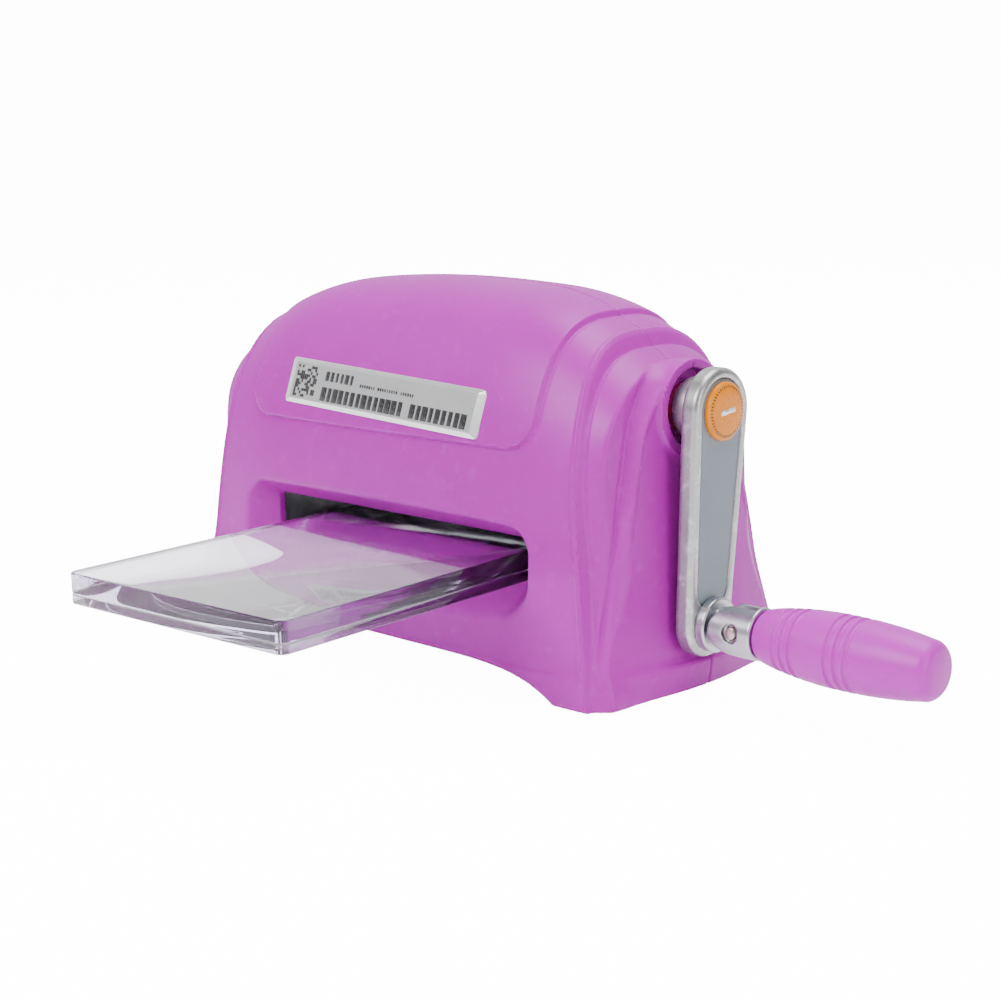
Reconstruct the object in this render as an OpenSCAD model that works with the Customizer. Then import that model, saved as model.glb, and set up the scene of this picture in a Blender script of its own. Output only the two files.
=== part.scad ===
// Hand-cranked die cutting machine: a two-part case on a base plate, a pair of geared
// rollers in a steel frame, a crank with a folding handle, and two clear plates that
// pass between the rollers. X runs along the case towards the crank, Y from the front
// to the back and Z up. The origin is the middle of the case, on the table.

/* [Case] */
// Length of the case over both end ledges
case_length = 160; // [157:0.5:163]
// Depth of the case at the middle
case_depth = 75; // [74:0.5:78]
// Height of the case at the middle
case_height = 95; // [94:0.5:99]
// Thickness of the case walls
wall = 2; // [1.6:0.1:2]
// How far the rubber feet hold the case off the table
foot_lift = 0.8; // [0.4:0.1:1]
// Height of the arch cut into the lower edge of the case
arch_rise = 6.7; // [5:0.1:6.9]

/* [Feed slot] */
// Width of the slot that the plates go through
slot_width = 100; // [98:0.5:102]
// Height of the lower edge of the slot
slot_low = 26.5; // [25:0.5:27]
// Height of the upper edge of the slot
slot_high = 38.5; // [36:0.5:40]
// Depth of the ramps that lead into the slot
mouth_depth = 6; // [4:0.5:6]

/* [Rollers and gears] */
// Height of the lower roller's axis
lower_axis_z = 18.4; // [18.3:0.1:18.8]
// Teeth on the gear of each roller
roller_teeth = 25; // [24:1:25]
// Teeth on the large gear that the crank drives
drive_teeth = 34; // [32:1:34]
// Teeth on the crank's pinion
pinion_teeth = 13; // [12:1:14]
// Length of each roller between the side frames
roller_length = 108; // [104:1:108]

/* [Crank] */
// Distance from the crank's axis to the handle's axis
arm_length = 49.7; // [46:0.1:50]
// Lean of the hanging arm towards the front, in degrees
arm_lean = 5; // [0:0.5:15]
// Half width of the arm at the crank's axis
arm_top_r = 10; // [9:0.1:11]
// Half width of the arm at the handle
arm_low_r = 8; // [7.5:0.1:8.5]
// Distance of the handle's hinge pin from the middle of the case
pin_x = 92.5; // [92.5:0.1:94]
// Distance of the grip's tip from the middle of the case
grip_tip_x = 143; // [142:0.5:144]

/* [Plates] */
// Width of the plates
plate_width = 72; // [60:1:73]
// Length of the plates
plate_length = 130; // [120:1:150]
// Thickness of the upper plate
top_plate_t = 4.9; // [4:0.1:5]
// Thickness of the lower plate
bottom_plate_t = 2.5; // [2:0.1:3]
// Turn of the plates about the vertical, in degrees
plate_yaw = 3.5; // [0:0.5:3.5]

/* [Hidden] */
$fn = 64;

// Gap between two surfaces that slide or turn on each other
running_gap = 0.05;
// A little more than nothing, so that a cut passes through a face
through = 0.5;

// Size of the gear teeth, as pitch diameter over tooth count
gear_module = 1;

// Axes of the rollers and of the crank
upper_axis_z = lower_axis_z + gear_module * roller_teeth;
crank_axis_z = upper_axis_z + gear_module * (drive_teeth + pinion_teeth) / 2;
nip_gap = 0.1;
nip = top_plate_t + bottom_plate_t + 2 * nip_gap;
roller_r = (gear_module * roller_teeth - nip) / 2;
journal_r = 4;
crank_shaft_r = 3.5;

// Side frames and the gears outside the right one
frame_x = 55;
frame_t = 2;
frame_foot_z = 7.4;
frame_outline = [
    [-19, frame_foot_z], [19, frame_foot_z], [22, 20], [22, 52],
    [13, 75], [-13, 75], [-22, 52], [-22, 20]
];
bush_r = 6;
roller_gear_x = 59.5;
drive_gear_x = 65;
gear_width = 4;
pressure_angle = 25;
backlash = 0.2;
tie_rod_r = 3;
tie_rod_low = [16.5, 13.5];
tie_rod_high = [13, 62];

// Case
half_depth = case_depth / 2;
corner_x = 71.5;
corner_pull = 1;
end_half_width = 33;
end_height = 74.5;
end_foot_x = case_length / 2 - 3;
end_lean = 3.7;
stations = [0, 18, 32, 42, 52, 60, 66.5, corner_x];
section_steps = 8;
arch_half = 62;
arch_power = 6.3;
ledge_top = 8;
ledge_bulge = 2.6;
boss_r = 12.5;
boss_face_x = 74;
web_face_x = 72.4;
web_back_x = 70;
hole_r = 9.2;

// Feed slot and its ramps
mouth_half = 53.4;
mouth_low = 17.5;
mouth_high = 43;
mouth_corner_r = 11;
slot_corner_r = 2.5;
mouth_rim = 2;

// Label recess on the front
label_z = 67.1;
label_y = -31.05;
label_lean = 18.4;
label_turn = 2.6;
label_size = [72, 12, 1.5];
label_pocket = [73.6, 15.8, 1];

// Base plate, feet and screws
base_t = 1.8;
base_half = [72, 34.3];
base_corner = [4, 3.3];
rail_half_width = 2.4;
rail_half_length = 20;
rail_top = 9.6;
foot_at = [63, 18];
foot_r = 6;
foot_inset = 0.8;
post_at = [66.3, 31];
post_r = 4.2;
post_top = 20;

// Crank and handle
arm_back_x = 78;
arm_t = 5;
inlay_depth = 1;
inlay_top_r = 7.5;
inlay_low_r = 5.7;
badge_r = 6.85;
hub_r = 7.5;
hub_back_x = 72.8;
shaft_end_x = 77.5;
knuckle_r = 6.5;
knuckle_face_x = 85.5;
tongue_t = 4;
tongue_r = 3.8;
pin_r = 1.8;
sleeve_r = 6.2;
sleeve_end_x = 98;
ear_r = 6.4;
neck_r = 4.2;
neck_end_x = 101;
spindle_r = 2.5;
spindle_end_x = 138.4;
spindle_ring_x = 134;

// Plates
plate_low_z = lower_axis_z + roller_r + nip_gap;
plate_front_y = -110;
plate_corner_r = 2.5;
slot_face_y = -36;
plate_centre_x = 13.1;

steel = [0.72, 0.73, 0.75];
dark_steel = [0.42, 0.43, 0.45];
brass = [0.80, 0.66, 0.38];
purple = [0.75, 0.40, 0.77];
silver = [0.80, 0.81, 0.83];
grip_purple = [0.70, 0.36, 0.72];
clear = [0.78, 0.82, 0.95, 0.45];

// Extrudes an outline drawn in Y and Z along X, starting at X = from
module along_x(from, length) {
    translate([from, 0, 0]) rotate([90, 0, 90]) linear_extrude(length) children();
}

// Extrudes an outline drawn in X and Z to both sides of the middle plane
module along_y(length) {
    rotate([90, 0, 0]) linear_extrude(length, center = true) children();
}

// Cylinder along X, through the point [0, y, z]
module rod_x(from, to, r, y = 0, z = 0) {
    translate([from, y, z]) rotate([0, 90, 0]) cylinder(h = to - from, r = r);
}

// Ring along X
module ring_x(from, to, outer_r, inner_r, y = 0, z = 0) {
    difference() {
        rod_x(from, to, outer_r, y, z);
        rod_x(from - through, to + through, inner_r, y, z);
    }
}

// Rectangle with round corners, centred on the origin
module rounded_rectangle(width, height, r) {
    square([width, height - 2 * r], center = true);
    square([width - 2 * r, height], center = true);
    for (x = [-1, 1], y = [-1, 1])
        translate([x * (width / 2 - r), y * (height / 2 - r)]) circle(r);
}

// Outline of a straight link that tapers from one round end to another, hanging down
module link_outline(top_r, low_r, length) {
    slant = asin((top_r - low_r) / length);
    arc_steps = 24;
    polygon([
        for (lower = [0, 1], i = [0:arc_steps])
            let (
                r = lower ? low_r : top_r,
                sweep = lower ? 180 - 2 * slant : 180 + 2 * slant,
                a = (lower ? 180 + slant : -slant) + sweep * i / arc_steps
            )
            [r * cos(a), r * sin(a) - lower * length]
    ]);
}

// ---- Case ----

function crest(x) = case_height - 0.00137 * x * x - 0.0061 * pow(max(0, abs(x) - 30), 2);

function half_width(x) = half_depth - corner_pull * pow(x / corner_x, 2);

function arch(x) =
    foot_lift + (abs(x) < arch_half ? arch_rise * (1 - pow(abs(x) / arch_half, arch_power)) : 0);

function arch_points(lift, steps = 24) = [
    for (i = [-steps:steps]) let (x = arch_half * sin(90 * i / steps)) [x, arch(x) + lift]
];

// Round-topped section of the case, in Y and Z
module section(half, height) {
    polygon([
        for (i = [-section_steps:section_steps])
            let (t = 90 * (1 - abs(i) / section_steps), s = sign(i))
            [s * half * pow(cos(t), 2 / 2.3), height * pow(sin(t), 2 / 3)]
    ]);
}

// The closed form of the case, drawn in by a wall thickness
module case_form(inset) {
    sliver = 0.01;
    hull() {
        for (side = [-1, 1]) {
            for (x = stations)
                along_x(side * max(0, x - inset), sliver)
                    section(half_width(x) - inset, crest(x) - inset);
            translate([side * (end_foot_x - inset), 0, 0])
                rotate([0, -side * end_lean, 0])
                    along_x(0, sliver) section(end_half_width - inset, end_height - inset);
        }
    }
}

// Curved ledge at the foot of one end
module end_ledge(side) {
    back_x = corner_x + 1;
    mirror([side < 0 ? 1 : 0, 0, 0])
        translate([0, 0, foot_lift])
            linear_extrude(ledge_top - foot_lift)
                polygon(concat([[back_x, -end_half_width]], [
                    for (i = [-6:6])
                        let (y = end_half_width * i / 6)
                        [case_length / 2 - ledge_bulge * pow(i / 6, 2), y]
                ], [[back_x, end_half_width]]));
}

// Everything below the lower edge of the case
module below_edge() {
    far = 100;
    along_y(case_depth + 10)
        polygon(concat([[-far, -5], [-far, foot_lift]], arch_points(0), [[far, foot_lift], [far, -5]]));
}

// The ramped mouth of the slot, cut into the face on one side
module slot_mouth(side) {
    mouth_mid = (mouth_low + mouth_high) / 2;
    slot_mid = (slot_low + slot_high) / 2;
    inner_y = half_depth - mouth_depth;
    hull() {
        translate([0, side * (half_depth + 0.5), mouth_mid])
            along_y(0.01) rounded_rectangle(2 * mouth_half, mouth_high - mouth_low, mouth_corner_r, $fn = 32);
        translate([0, side * inner_y, slot_mid])
            along_y(0.01) rounded_rectangle(slot_width, slot_high - slot_low, slot_corner_r, $fn = 32);
    }
    translate([0, side * (inner_y - wall), slot_mid])
        along_y(2 * wall + through) rounded_rectangle(slot_width, slot_high - slot_low, slot_corner_r);
}

// Block behind the face that the ramps are cut from
module mouth_block(side) {
    depth = mouth_depth + wall - 1.5;
    translate([
        -mouth_half - mouth_rim,
        side > 0 ? half_depth - 1.5 - depth : -half_depth + 1.5,
        mouth_low - mouth_rim
    ])
        cube([2 * (mouth_half + mouth_rim), depth, mouth_high - mouth_low + 2 * mouth_rim]);
}

// Posts for the screws that hold the base plate
module screw_posts(side) {
    base_top = foot_lift + base_t;
    for (x = [-post_at.x, post_at.x])
        translate([x, side * post_at.y, base_top]) cylinder(h = post_top - base_top, r = post_r);
}

// One half of the case, split along the middle plane
module case_half(side) {
    big = case_length + 20;
    difference() {
        intersection() {
            union() {
                difference() {
                    case_form(0);
                    case_form(wall);
                }
                end_ledge(-1);
                end_ledge(1);
                rod_x(web_back_x, boss_face_x, boss_r, 0, crank_axis_z);
                intersection() {
                    case_form(0);
                    union() {
                        mouth_block(side);
                        screw_posts(side);
                    }
                }
            }
            translate([-big / 2, side > 0 ? 0 : -case_depth, -5])
                cube([big, case_depth, case_height + 10]);
        }
        below_edge();
        slot_mouth(side);
        rod_x(web_face_x, case_length, hole_r, 0, crank_axis_z);
        rod_x(web_back_x - through, case_length, bush_r, 0, crank_axis_z);
        for (x = [-post_at.x, post_at.x])
            translate([x, side * post_at.y, -1]) cylinder(h = post_top - 3, r = 1.2);
    }
}

// Places its children flat on the front, on the label's slope
module on_label_slope() {
    translate([0, label_y, label_z]) rotate([90 - label_lean, 0, 0]) children();
}

module front_shell() {
    color(purple)
        difference() {
            case_half(-1);
            on_label_slope()
                translate([0, 0, 5 - label_pocket.z])
                    cube([label_pocket.x, label_pocket.y, 10], center = true);
        }
}

module rear_shell() {
    color(purple) case_half(1);
}

module label_plate() {
    color(silver)
        on_label_slope()
            rotate([0, 0, -label_turn])
                translate([0, 0, -label_pocket.z])
                    linear_extrude(label_size.z) rounded_rectangle(label_size.x, label_size.y, 1.2);
}

// ---- Base plate, feet and case screws ----

module base_plate() {
    plan_x = base_half.x - base_corner.x;
    plan_y = base_half.y - base_corner.y;
    head_depth = 1;
    color(dark_steel)
        difference() {
            union() {
                intersection() {
                    along_y(2 * base_half.y)
                        polygon(concat(
                            [[-base_half.x, foot_lift]], arch_points(0), [[base_half.x, foot_lift]],
                            [[base_half.x, foot_lift + base_t]],
                            [let (top = arch_points(base_t)) for (i = [len(top) - 1:-1:0]) top[i]],
                            [[-base_half.x, foot_lift + base_t]]
                        ));
                    linear_extrude(20)
                        polygon([
                            [plan_x, -base_half.y], [base_half.x, -plan_y], [base_half.x, plan_y],
                            [plan_x, base_half.y], [-plan_x, base_half.y], [-base_half.x, plan_y],
                            [-base_half.x, -plan_y], [-plan_x, -base_half.y]
                        ]);
                }
                for (side = [-1, 1]) frame_rail(side * (frame_x + frame_t / 2));
            }
            for (x = [-1, 1], y = [-1, 1]) {
                translate([x * foot_at.x, y * foot_at.y, 0]) cylinder(h = foot_lift + foot_inset, r = foot_r);
                translate([x * post_at.x, y * post_at.y, 0]) {
                    cylinder(h = foot_lift + head_depth, r = 2.8);
                    cylinder(h = 10, r = 1.6);
                }
            }
        }
}

// Rail with a groove that holds the foot of one side frame
module frame_rail(middle_x) {
    low = [for (i = [-4:4]) let (x = middle_x + rail_half_width * i / 4) [x, arch(x) + base_t / 2]];
    difference() {
        along_y(2 * rail_half_length)
            polygon(concat(low, [
                [middle_x + rail_half_width, rail_top], [middle_x - rail_half_width, rail_top]
            ]));
        translate([middle_x - frame_t / 2, -rail_half_length - 1, frame_foot_z])
            cube([frame_t, 2 * rail_half_length + 2, 10]);
    }
}

module foot(x, y) {
    color([0.15, 0.15, 0.16])
        translate([x * foot_at.x, y * foot_at.y, 0]) {
            cylinder(h = 0.4, r1 = foot_r - 0.4, r2 = foot_r, $fn = 64);
            translate([0, 0, 0.4]) cylinder(h = foot_lift + foot_inset - 0.4, r = foot_r);
        }
}

module case_screws() {
    color(dark_steel)
        for (x = [-1, 1], y = [-1, 1])
            translate([x * post_at.x, y * post_at.y, foot_lift + 0.1]) {
                cylinder(h = 0.9, r = 2.6);
                cylinder(h = 13, r = 1.2);
            }
}

// ---- Side frames ----

// Positions of the tie rods' ends in Y and Z
function tie_rod_points() = [
    [-tie_rod_low.x, tie_rod_low.y], [-tie_rod_high.x, tie_rod_high.y],
    [tie_rod_low.x, tie_rod_low.y], [tie_rod_high.x, tie_rod_high.y]
];

module side_frame(side) {
    from = side > 0 ? frame_x : -frame_x - frame_t;
    color(steel)
        difference() {
            along_x(from, frame_t) polygon(frame_outline);
            for (z = [lower_axis_z, upper_axis_z]) rod_x(from - 1, from + frame_t + 1, bush_r, 0, z);
            if (side > 0) rod_x(from - 1, from + frame_t + 1, bush_r - 0.5, 0, crank_axis_z);
            for (p = tie_rod_points()) rod_x(from - 1, from + frame_t + 1, 1.6, p.x, p.y);
        }
}

module tie_rod(i) {
    p = tie_rod_points()[i];
    color(steel)
        difference() {
            rod_x(-frame_x, frame_x, tie_rod_r, p.x, p.y);
            for (side = [-1, 1])
                rod_x(side > 0 ? frame_x - 9 : -frame_x - 1, side > 0 ? frame_x + 1 : -frame_x + 9,
                      1.5, p.x, p.y);
        }
}

module frame_screws(side) {
    color(dark_steel)
        mirror([side > 0 ? 0 : 1, 0, 0])
            for (p = tie_rod_points()) {
                rod_x(frame_x + frame_t, frame_x + frame_t + 1.6, 2.8, p.x, p.y);
                rod_x(frame_x - 8, frame_x + frame_t, 1.5, p.x, p.y);
            }
}

module roller_bush(side, z) {
    from = side > 0 ? frame_x - 0.5 : -frame_x - frame_t - 0.5;
    color(brass) ring_x(from, from + frame_t + 1, bush_r, journal_r + running_gap, 0, z);
}

module bush_crank_inner() {
    color(brass)
        ring_x(frame_x - 0.5, frame_x + frame_t + 0.5, bush_r - 0.5, crank_shaft_r + running_gap,
               0, crank_axis_z);
}

module bush_crank_outer() {
    color(brass)
        ring_x(web_back_x, web_face_x, bush_r, crank_shaft_r + running_gap, 0, crank_axis_z);
}

// ---- Gears ----

function involute(angle) = tan(angle) * 180 / PI - angle;

// Half of a tooth's angle at radius r
function half_tooth(r, pitch_r, base_r, teeth) =
    90 / teeth - backlash / 4 / pitch_r * 180 / PI + involute(pressure_angle)
    - (r > base_r ? involute(acos(base_r / r)) : 0);

// Outline of a gear with a tooth at each of its tooth positions, the first one at `turn`
module gear_outline(teeth, turn) {
    pitch_r = gear_module * teeth / 2;
    base_r = pitch_r * cos(pressure_angle);
    tip_r = pitch_r + gear_module;
    root_r = pitch_r - 1.25 * gear_module;
    flank_r = max(base_r, root_r);
    radii = concat(root_r < flank_r ? [root_r] : [], [for (i = [0:4]) flank_r + (tip_r - flank_r) * i / 4]);
    count = len(radii);
    polygon([
        for (tooth = [0:teeth - 1], i = [0:2 * count - 1])
            let (
                rising = i < count,
                r = radii[rising ? i : 2 * count - 1 - i],
                a = turn + 360 * tooth / teeth
                    + (rising ? -1 : 1) * half_tooth(r, pitch_r, base_r, teeth)
            )
            [r * cos(a), r * sin(a)]
    ]);
}

// Gear along X on a shaft, with a hub towards the case's middle
module gear(teeth, turn, from, z, shaft_r) {
    translate([0, 0, z])
        difference() {
            along_x(from, gear_width) gear_outline(teeth, turn);
            rod_x(from - 1, from + gear_width + 1, shaft_r);
        }
}

// ---- Rollers ----

// Roller with its two journals; the right one reaches to X = end_x
module roller(z, end_x) {
    half = roller_length / 2;
    color(steel)
        translate([0, 0, z])
            rotate([0, 90, 0])
                rotate_extrude()
                    polygon([
                        [0, -60], [journal_r - 0.4, -60], [journal_r, -59.6], [journal_r, -59.2],
                        [journal_r - 0.6, -59.2], [journal_r - 0.6, -58.4], [journal_r, -58.4],
                        [journal_r, -half], [roller_r - 0.6, -half], [roller_r, 0.6 - half],
                        [roller_r, half - 0.6], [roller_r - 0.6, half], [journal_r, half],
                        [journal_r, end_x - 0.4], [journal_r - 0.4, end_x], [0, end_x]
                    ]);
}

module roller_ring(z) {
    color(dark_steel) ring_x(-59.2, -58.4, journal_r + 1.8, journal_r - 0.6, 0, z);
}

module upper_roller_gear() {
    color(dark_steel) gear(roller_teeth, 270, roller_gear_x, upper_axis_z, journal_r);
}

module lower_roller_gear() {
    color(dark_steel)
        gear(roller_teeth, 90 + 180 / roller_teeth, roller_gear_x, lower_axis_z, journal_r);
}

module drive_gear() {
    color(dark_steel) gear(drive_teeth, 90, drive_gear_x, upper_axis_z, journal_r);
}

module pinion() {
    color(steel) gear(pinion_teeth, 270 + 180 / pinion_teeth, drive_gear_x, crank_axis_z, crank_shaft_r);
}

// ---- Crank ----

// Places its children at the crank's axis with the arm's lean
module on_crank() {
    translate([0, 0, crank_axis_z]) rotate([-arm_lean, 0, 0]) children();
}

// Places its children at the handle's axis
module on_handle() {
    on_crank() translate([0, 0, -arm_length]) children();
}

module crank_shaft() {
    color(steel)
        translate([0, 0, crank_axis_z])
            difference() {
                rod_x(53, shaft_end_x, crank_shaft_r);
                ring_x(53.7, 54.5, crank_shaft_r + 1, crank_shaft_r - 0.6);
                rod_x(70, shaft_end_x + 1, 1.6);
            }
}

module crank_retaining_ring() {
    color(dark_steel)
        ring_x(53.7, 54.5, crank_shaft_r + 1.6, crank_shaft_r - 0.6, 0, crank_axis_z);
}

module crank_hub() {
    color(silver)
        on_crank()
            difference() {
                rod_x(hub_back_x, arm_back_x, hub_r);
                rod_x(hub_back_x - 1, shaft_end_x, crank_shaft_r);
                rod_x(hub_back_x - 1, arm_back_x + 1, 1.7);
            }
}

module crank_arm() {
    front_x = arm_back_x + arm_t;
    color(silver)
        on_crank()
            difference() {
                along_x(arm_back_x, arm_t) link_outline(arm_top_r, arm_low_r, arm_length);
                along_x(front_x - inlay_depth, inlay_depth + 1)
                    link_outline(inlay_top_r, inlay_low_r, arm_length - 9);
                rod_x(arm_back_x - 1, front_x, 1.7);
                rod_x(arm_back_x + 1.4, front_x, 3.3);
                translate([0, 0, -arm_length]) rod_x(arm_back_x + 2, front_x + 1, 3);
            }
}

module arm_inlay() {
    from = arm_back_x + arm_t - inlay_depth;
    color([0.58, 0.62, 0.66])
        on_crank()
            along_x(from, 0.6) link_outline(inlay_top_r, inlay_low_r, arm_length - 9);
}

module crank_badge() {
    from = arm_back_x + arm_t - inlay_depth + 0.6;
    rim = 1;
    dome = 0.8;
    steps = 8;
    color([0.95, 0.67, 0.20])
        on_crank()
            translate([from, 0, 0])
                rotate([0, 90, 0])
                    rotate_extrude()
                        polygon(concat([[0, 0], [badge_r, 0]], [
                            for (i = [0:steps])
                                let (r = badge_r * (1 - i / steps))
                                [r, rim + dome * (1 - pow(r / badge_r, 2))]
                        ]));
}

module crank_screw() {
    color(dark_steel)
        on_crank() {
            rod_x(arm_back_x + 1.4, arm_back_x + 3.6, 3.1);
            rod_x(71, arm_back_x + 1.4, 1.6);
        }
}

// Collar with the tongue that the handle hinges on
module knuckle() {
    front_x = arm_back_x + arm_t;
    color(silver)
        on_handle()
            difference() {
                union() {
                    rod_x(arm_back_x + 2, front_x, 3);
                    rod_x(front_x, knuckle_face_x, knuckle_r);
                    translate([front_x, -tongue_t / 2, -tongue_r])
                        cube([pin_x - front_x, tongue_t, 2 * tongue_r]);
                    pin_shape(tongue_r, tongue_t);
                }
                pin_shape(pin_r + running_gap, tongue_t + 2);
            }
}

// Cylinder along the hinge axis of the handle
module pin_shape(r, length) {
    translate([pin_x, 0, 0]) rotate([90, 0, 0]) cylinder(h = length, r = r, center = true);
}

// ---- Handle ----

module handle_sleeve() {
    slot_gap = 0.15;
    slot_end = pin_x + tongue_r + 0.3;
    color(silver)
        on_handle()
            difference() {
                union() {
                    intersection() {
                        rod_x(pin_x - ear_r, sleeve_end_x, sleeve_r);
                        union() {
                            pin_shape(ear_r, 3 * sleeve_r);
                            translate([pin_x, -10, -10]) cube([20, 20, 20]);
                        }
                    }
                    rod_x(sleeve_end_x, neck_end_x, neck_r);
                }
                translate([pin_x - 10, -tongue_t / 2 - slot_gap, -tongue_r - 0.3])
                    cube([slot_end - pin_x + 10, tongue_t + 2 * slot_gap, 20]);
                pin_shape(pin_r, 20);
                rod_x(sleeve_end_x, neck_end_x + 1, spindle_r);
            }
}

module knuckle_pin() {
    color(steel) on_handle() pin_shape(pin_r, 11.6);
}

module handle_spindle() {
    color(steel)
        on_handle()
            difference() {
                rod_x(sleeve_end_x, spindle_end_x, spindle_r);
                ring_x(spindle_ring_x, spindle_ring_x + 0.8, spindle_r + 1, spindle_r - 0.5);
            }
}

module spindle_ring() {
    color(dark_steel)
        on_handle() ring_x(spindle_ring_x, spindle_ring_x + 0.8, spindle_r + 0.9, spindle_r - 0.5);
}

// Half outline of the grip as [radius, X], grooves included
function grooves(from, r) = [
    for (i = [0:2], p = [[0, 0], [0.25, -0.6], [0.75, -0.6], [1, 0]])
        [r + p.y, from + 1.3 * i + 1.1 * p.x]
];
grip_outline = concat(
    [[4.6, 98.3], [5.7, 98.3], [6.2, 98.8], [6.9, 102]],
    grooves(105, 7.7),
    [[8.3, 111], [8.6, 115], [8.5, 119]],
    grooves(121.2, 8.3),
    [[8, 128], [7.4, 132], [6.5, 136], [5.3, 139.2], [3.6, 141.6], [1.8, 142.7], [0, grip_tip_x]],
    [[0, 139], [spindle_r + running_gap, 139]],
    [
        [spindle_r + running_gap, spindle_ring_x + 1.2], [3.7, spindle_ring_x + 1.2],
        [3.7, spindle_ring_x - 0.4], [spindle_r + running_gap, spindle_ring_x - 0.4]
    ],
    [[spindle_r + running_gap, 101.3], [4.6, 101.3]]
);

module grip() {
    color(grip_purple)
        on_handle() rotate([0, 90, 0]) rotate_extrude() polygon(grip_outline);
}

// ---- Plates ----

// Places its children on the plates' middle line, where it crosses the slot's face
module on_plate_line() {
    translate([plate_centre_x, slot_face_y, 0]) rotate([0, 0, plate_yaw]) children();
}

module cutting_plate(low, thickness) {
    front = (plate_front_y - slot_face_y) / cos(plate_yaw);
    color(clear)
        on_plate_line()
            translate([0, front + plate_length / 2, low])
                linear_extrude(thickness) rounded_rectangle(plate_width, plate_length, plate_corner_r);
}

front_shell();
rear_shell();
base_plate();
label_plate();
foot(-1, -1);  // foot_front_left
foot(1, -1);  // foot_front_right
foot(-1, 1);  // foot_rear_left
foot(1, 1);  // foot_rear_right
case_screws();
side_frame(-1);  // side_frame_left
side_frame(1);  // side_frame_right
tie_rod(0);  // tie_rod_front_low
tie_rod(1);  // tie_rod_front_high
tie_rod(2);  // tie_rod_rear_low
tie_rod(3);  // tie_rod_rear_high
frame_screws(-1);  // frame_screws_left
frame_screws(1);  // frame_screws_right
roller_bush(-1, upper_axis_z);  // bush_upper_left
roller_bush(1, upper_axis_z);  // bush_upper_right
roller_bush(-1, lower_axis_z);  // bush_lower_left
roller_bush(1, lower_axis_z);  // bush_lower_right
bush_crank_inner();
bush_crank_outer();
roller(upper_axis_z, drive_gear_x + gear_width + 0.6);  // upper_roller
upper_roller_gear();
drive_gear();
roller_ring(upper_axis_z);  // upper_retaining_ring
roller(lower_axis_z, roller_gear_x + gear_width + 0.6);  // lower_roller
lower_roller_gear();
roller_ring(lower_axis_z);  // lower_retaining_ring
crank_shaft();
pinion();
crank_retaining_ring();
crank_hub();
crank_arm();
arm_inlay();
crank_badge();
crank_screw();
knuckle();
handle_sleeve();
knuckle_pin();
handle_spindle();
spindle_ring();
grip();
cutting_plate(plate_low_z + bottom_plate_t, top_plate_t);  // top_plate
cutting_plate(plate_low_z, bottom_plate_t);  // bottom_plate
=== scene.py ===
import math

import bmesh
import bpy
import numpy as np
from mathutils import Matrix, Vector


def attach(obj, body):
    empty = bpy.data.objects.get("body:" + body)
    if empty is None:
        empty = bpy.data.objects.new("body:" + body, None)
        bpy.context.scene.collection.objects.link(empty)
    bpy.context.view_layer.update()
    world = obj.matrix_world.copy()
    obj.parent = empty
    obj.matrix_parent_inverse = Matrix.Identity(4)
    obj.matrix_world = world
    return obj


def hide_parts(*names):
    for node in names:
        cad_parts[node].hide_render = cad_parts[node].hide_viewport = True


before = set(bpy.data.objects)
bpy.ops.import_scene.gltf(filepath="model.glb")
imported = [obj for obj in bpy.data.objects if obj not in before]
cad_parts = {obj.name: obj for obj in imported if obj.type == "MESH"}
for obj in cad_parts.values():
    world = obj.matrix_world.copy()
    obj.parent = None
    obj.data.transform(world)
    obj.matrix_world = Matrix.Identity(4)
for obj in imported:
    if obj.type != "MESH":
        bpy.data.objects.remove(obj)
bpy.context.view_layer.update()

# Hand-cranked die cutting machine. Shapes are worked out in millimetres and put into the meshes in metres.
# X runs along the case to the crank, Y from the front to the back, Z up from the table.

MM = 0.001

# ---- Sizes of the case ----

CASE_HALF_DEPTH = 37.5
CASE_TOP = 95.0
CORNER_X = 71.5
FOOT_LIFT = 0.8
ARCH_RISE = 6.7
ARCH_HALF = 62.0
LEDGE_TOP = 8.0
WALL = 2.0
SADDLE_HALF = 51.5
SADDLE_LOW = 58.4
SADDLE_CORNER = 8.0
SADDLE_STEP = 0.8
SLOT_X, SLOT_HALF, SLOT_MID, SLOT_HALF_HEIGHT, SLOT_CORNER = 1.75, 48.25, 31.6, 5.1, 2.0
MOUTH_X, MOUTH_HALF, MOUTH_MID, MOUTH_HALF_HEIGHT, MOUTH_CORNER = -0.5, 54.0, 30.25, 12.75, 9.5
MOUTH_FLOOR = 27.2
CRANK_Z = 66.9
HOLE_R = 9.2
BUSH_R = 6.0
LABEL_AT = (0.0, -31.05, 67.1)
LABEL_LEAN = math.radians(18.4)
LABEL_TURN = math.radians(2.6)
LABEL_HALF = (36.0, 6.0)
POCKET_HALF = (36.8, 7.9)
POCKET_DEPTH = 1.0

# Height of the bell-shaped boss over its half width: first its outer foot, then the edge of its face
BELL_Y = [0.0, 4.0, 8.3, 11.6, 14.9, 17.7, 19.2, 20.2, 22.3, 25.0, 27.0, 32.0, 40.0]
BELL_FOOT = [80.2, 79.3, 77.4, 75.0, 71.1, 66.5, 62.8, 57.8, 47.6, 34.3, 25.8, 10.0, -12.0]
BELL_FACE_Y = [0.0, 3.0, 6.6, 10.0, 13.6, 15.9, 17.6, 19.6, 21.2, 24.0, 26.0, 31.2, 40.0]
BELL_FACE = [78.2, 77.9, 76.4, 73.0, 68.4, 65.2, 61.8, 53.3, 45.7, 36.2, 28.2, 10.0, -12.0]

# ---- Sizes of the crank and handle ----

ARM_LENGTH = 49.7
ARM_LEAN = math.radians(5)
PIN_X = 92.5


# ---- Distance fields ----

def smooth_max(a, b, k):
    h = np.maximum(k - np.abs(a - b), 0) / k
    return np.maximum(a, b) + h * h * k * 0.25


def smooth_min(a, b, k):
    return -smooth_max(-a, -b, k)


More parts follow.
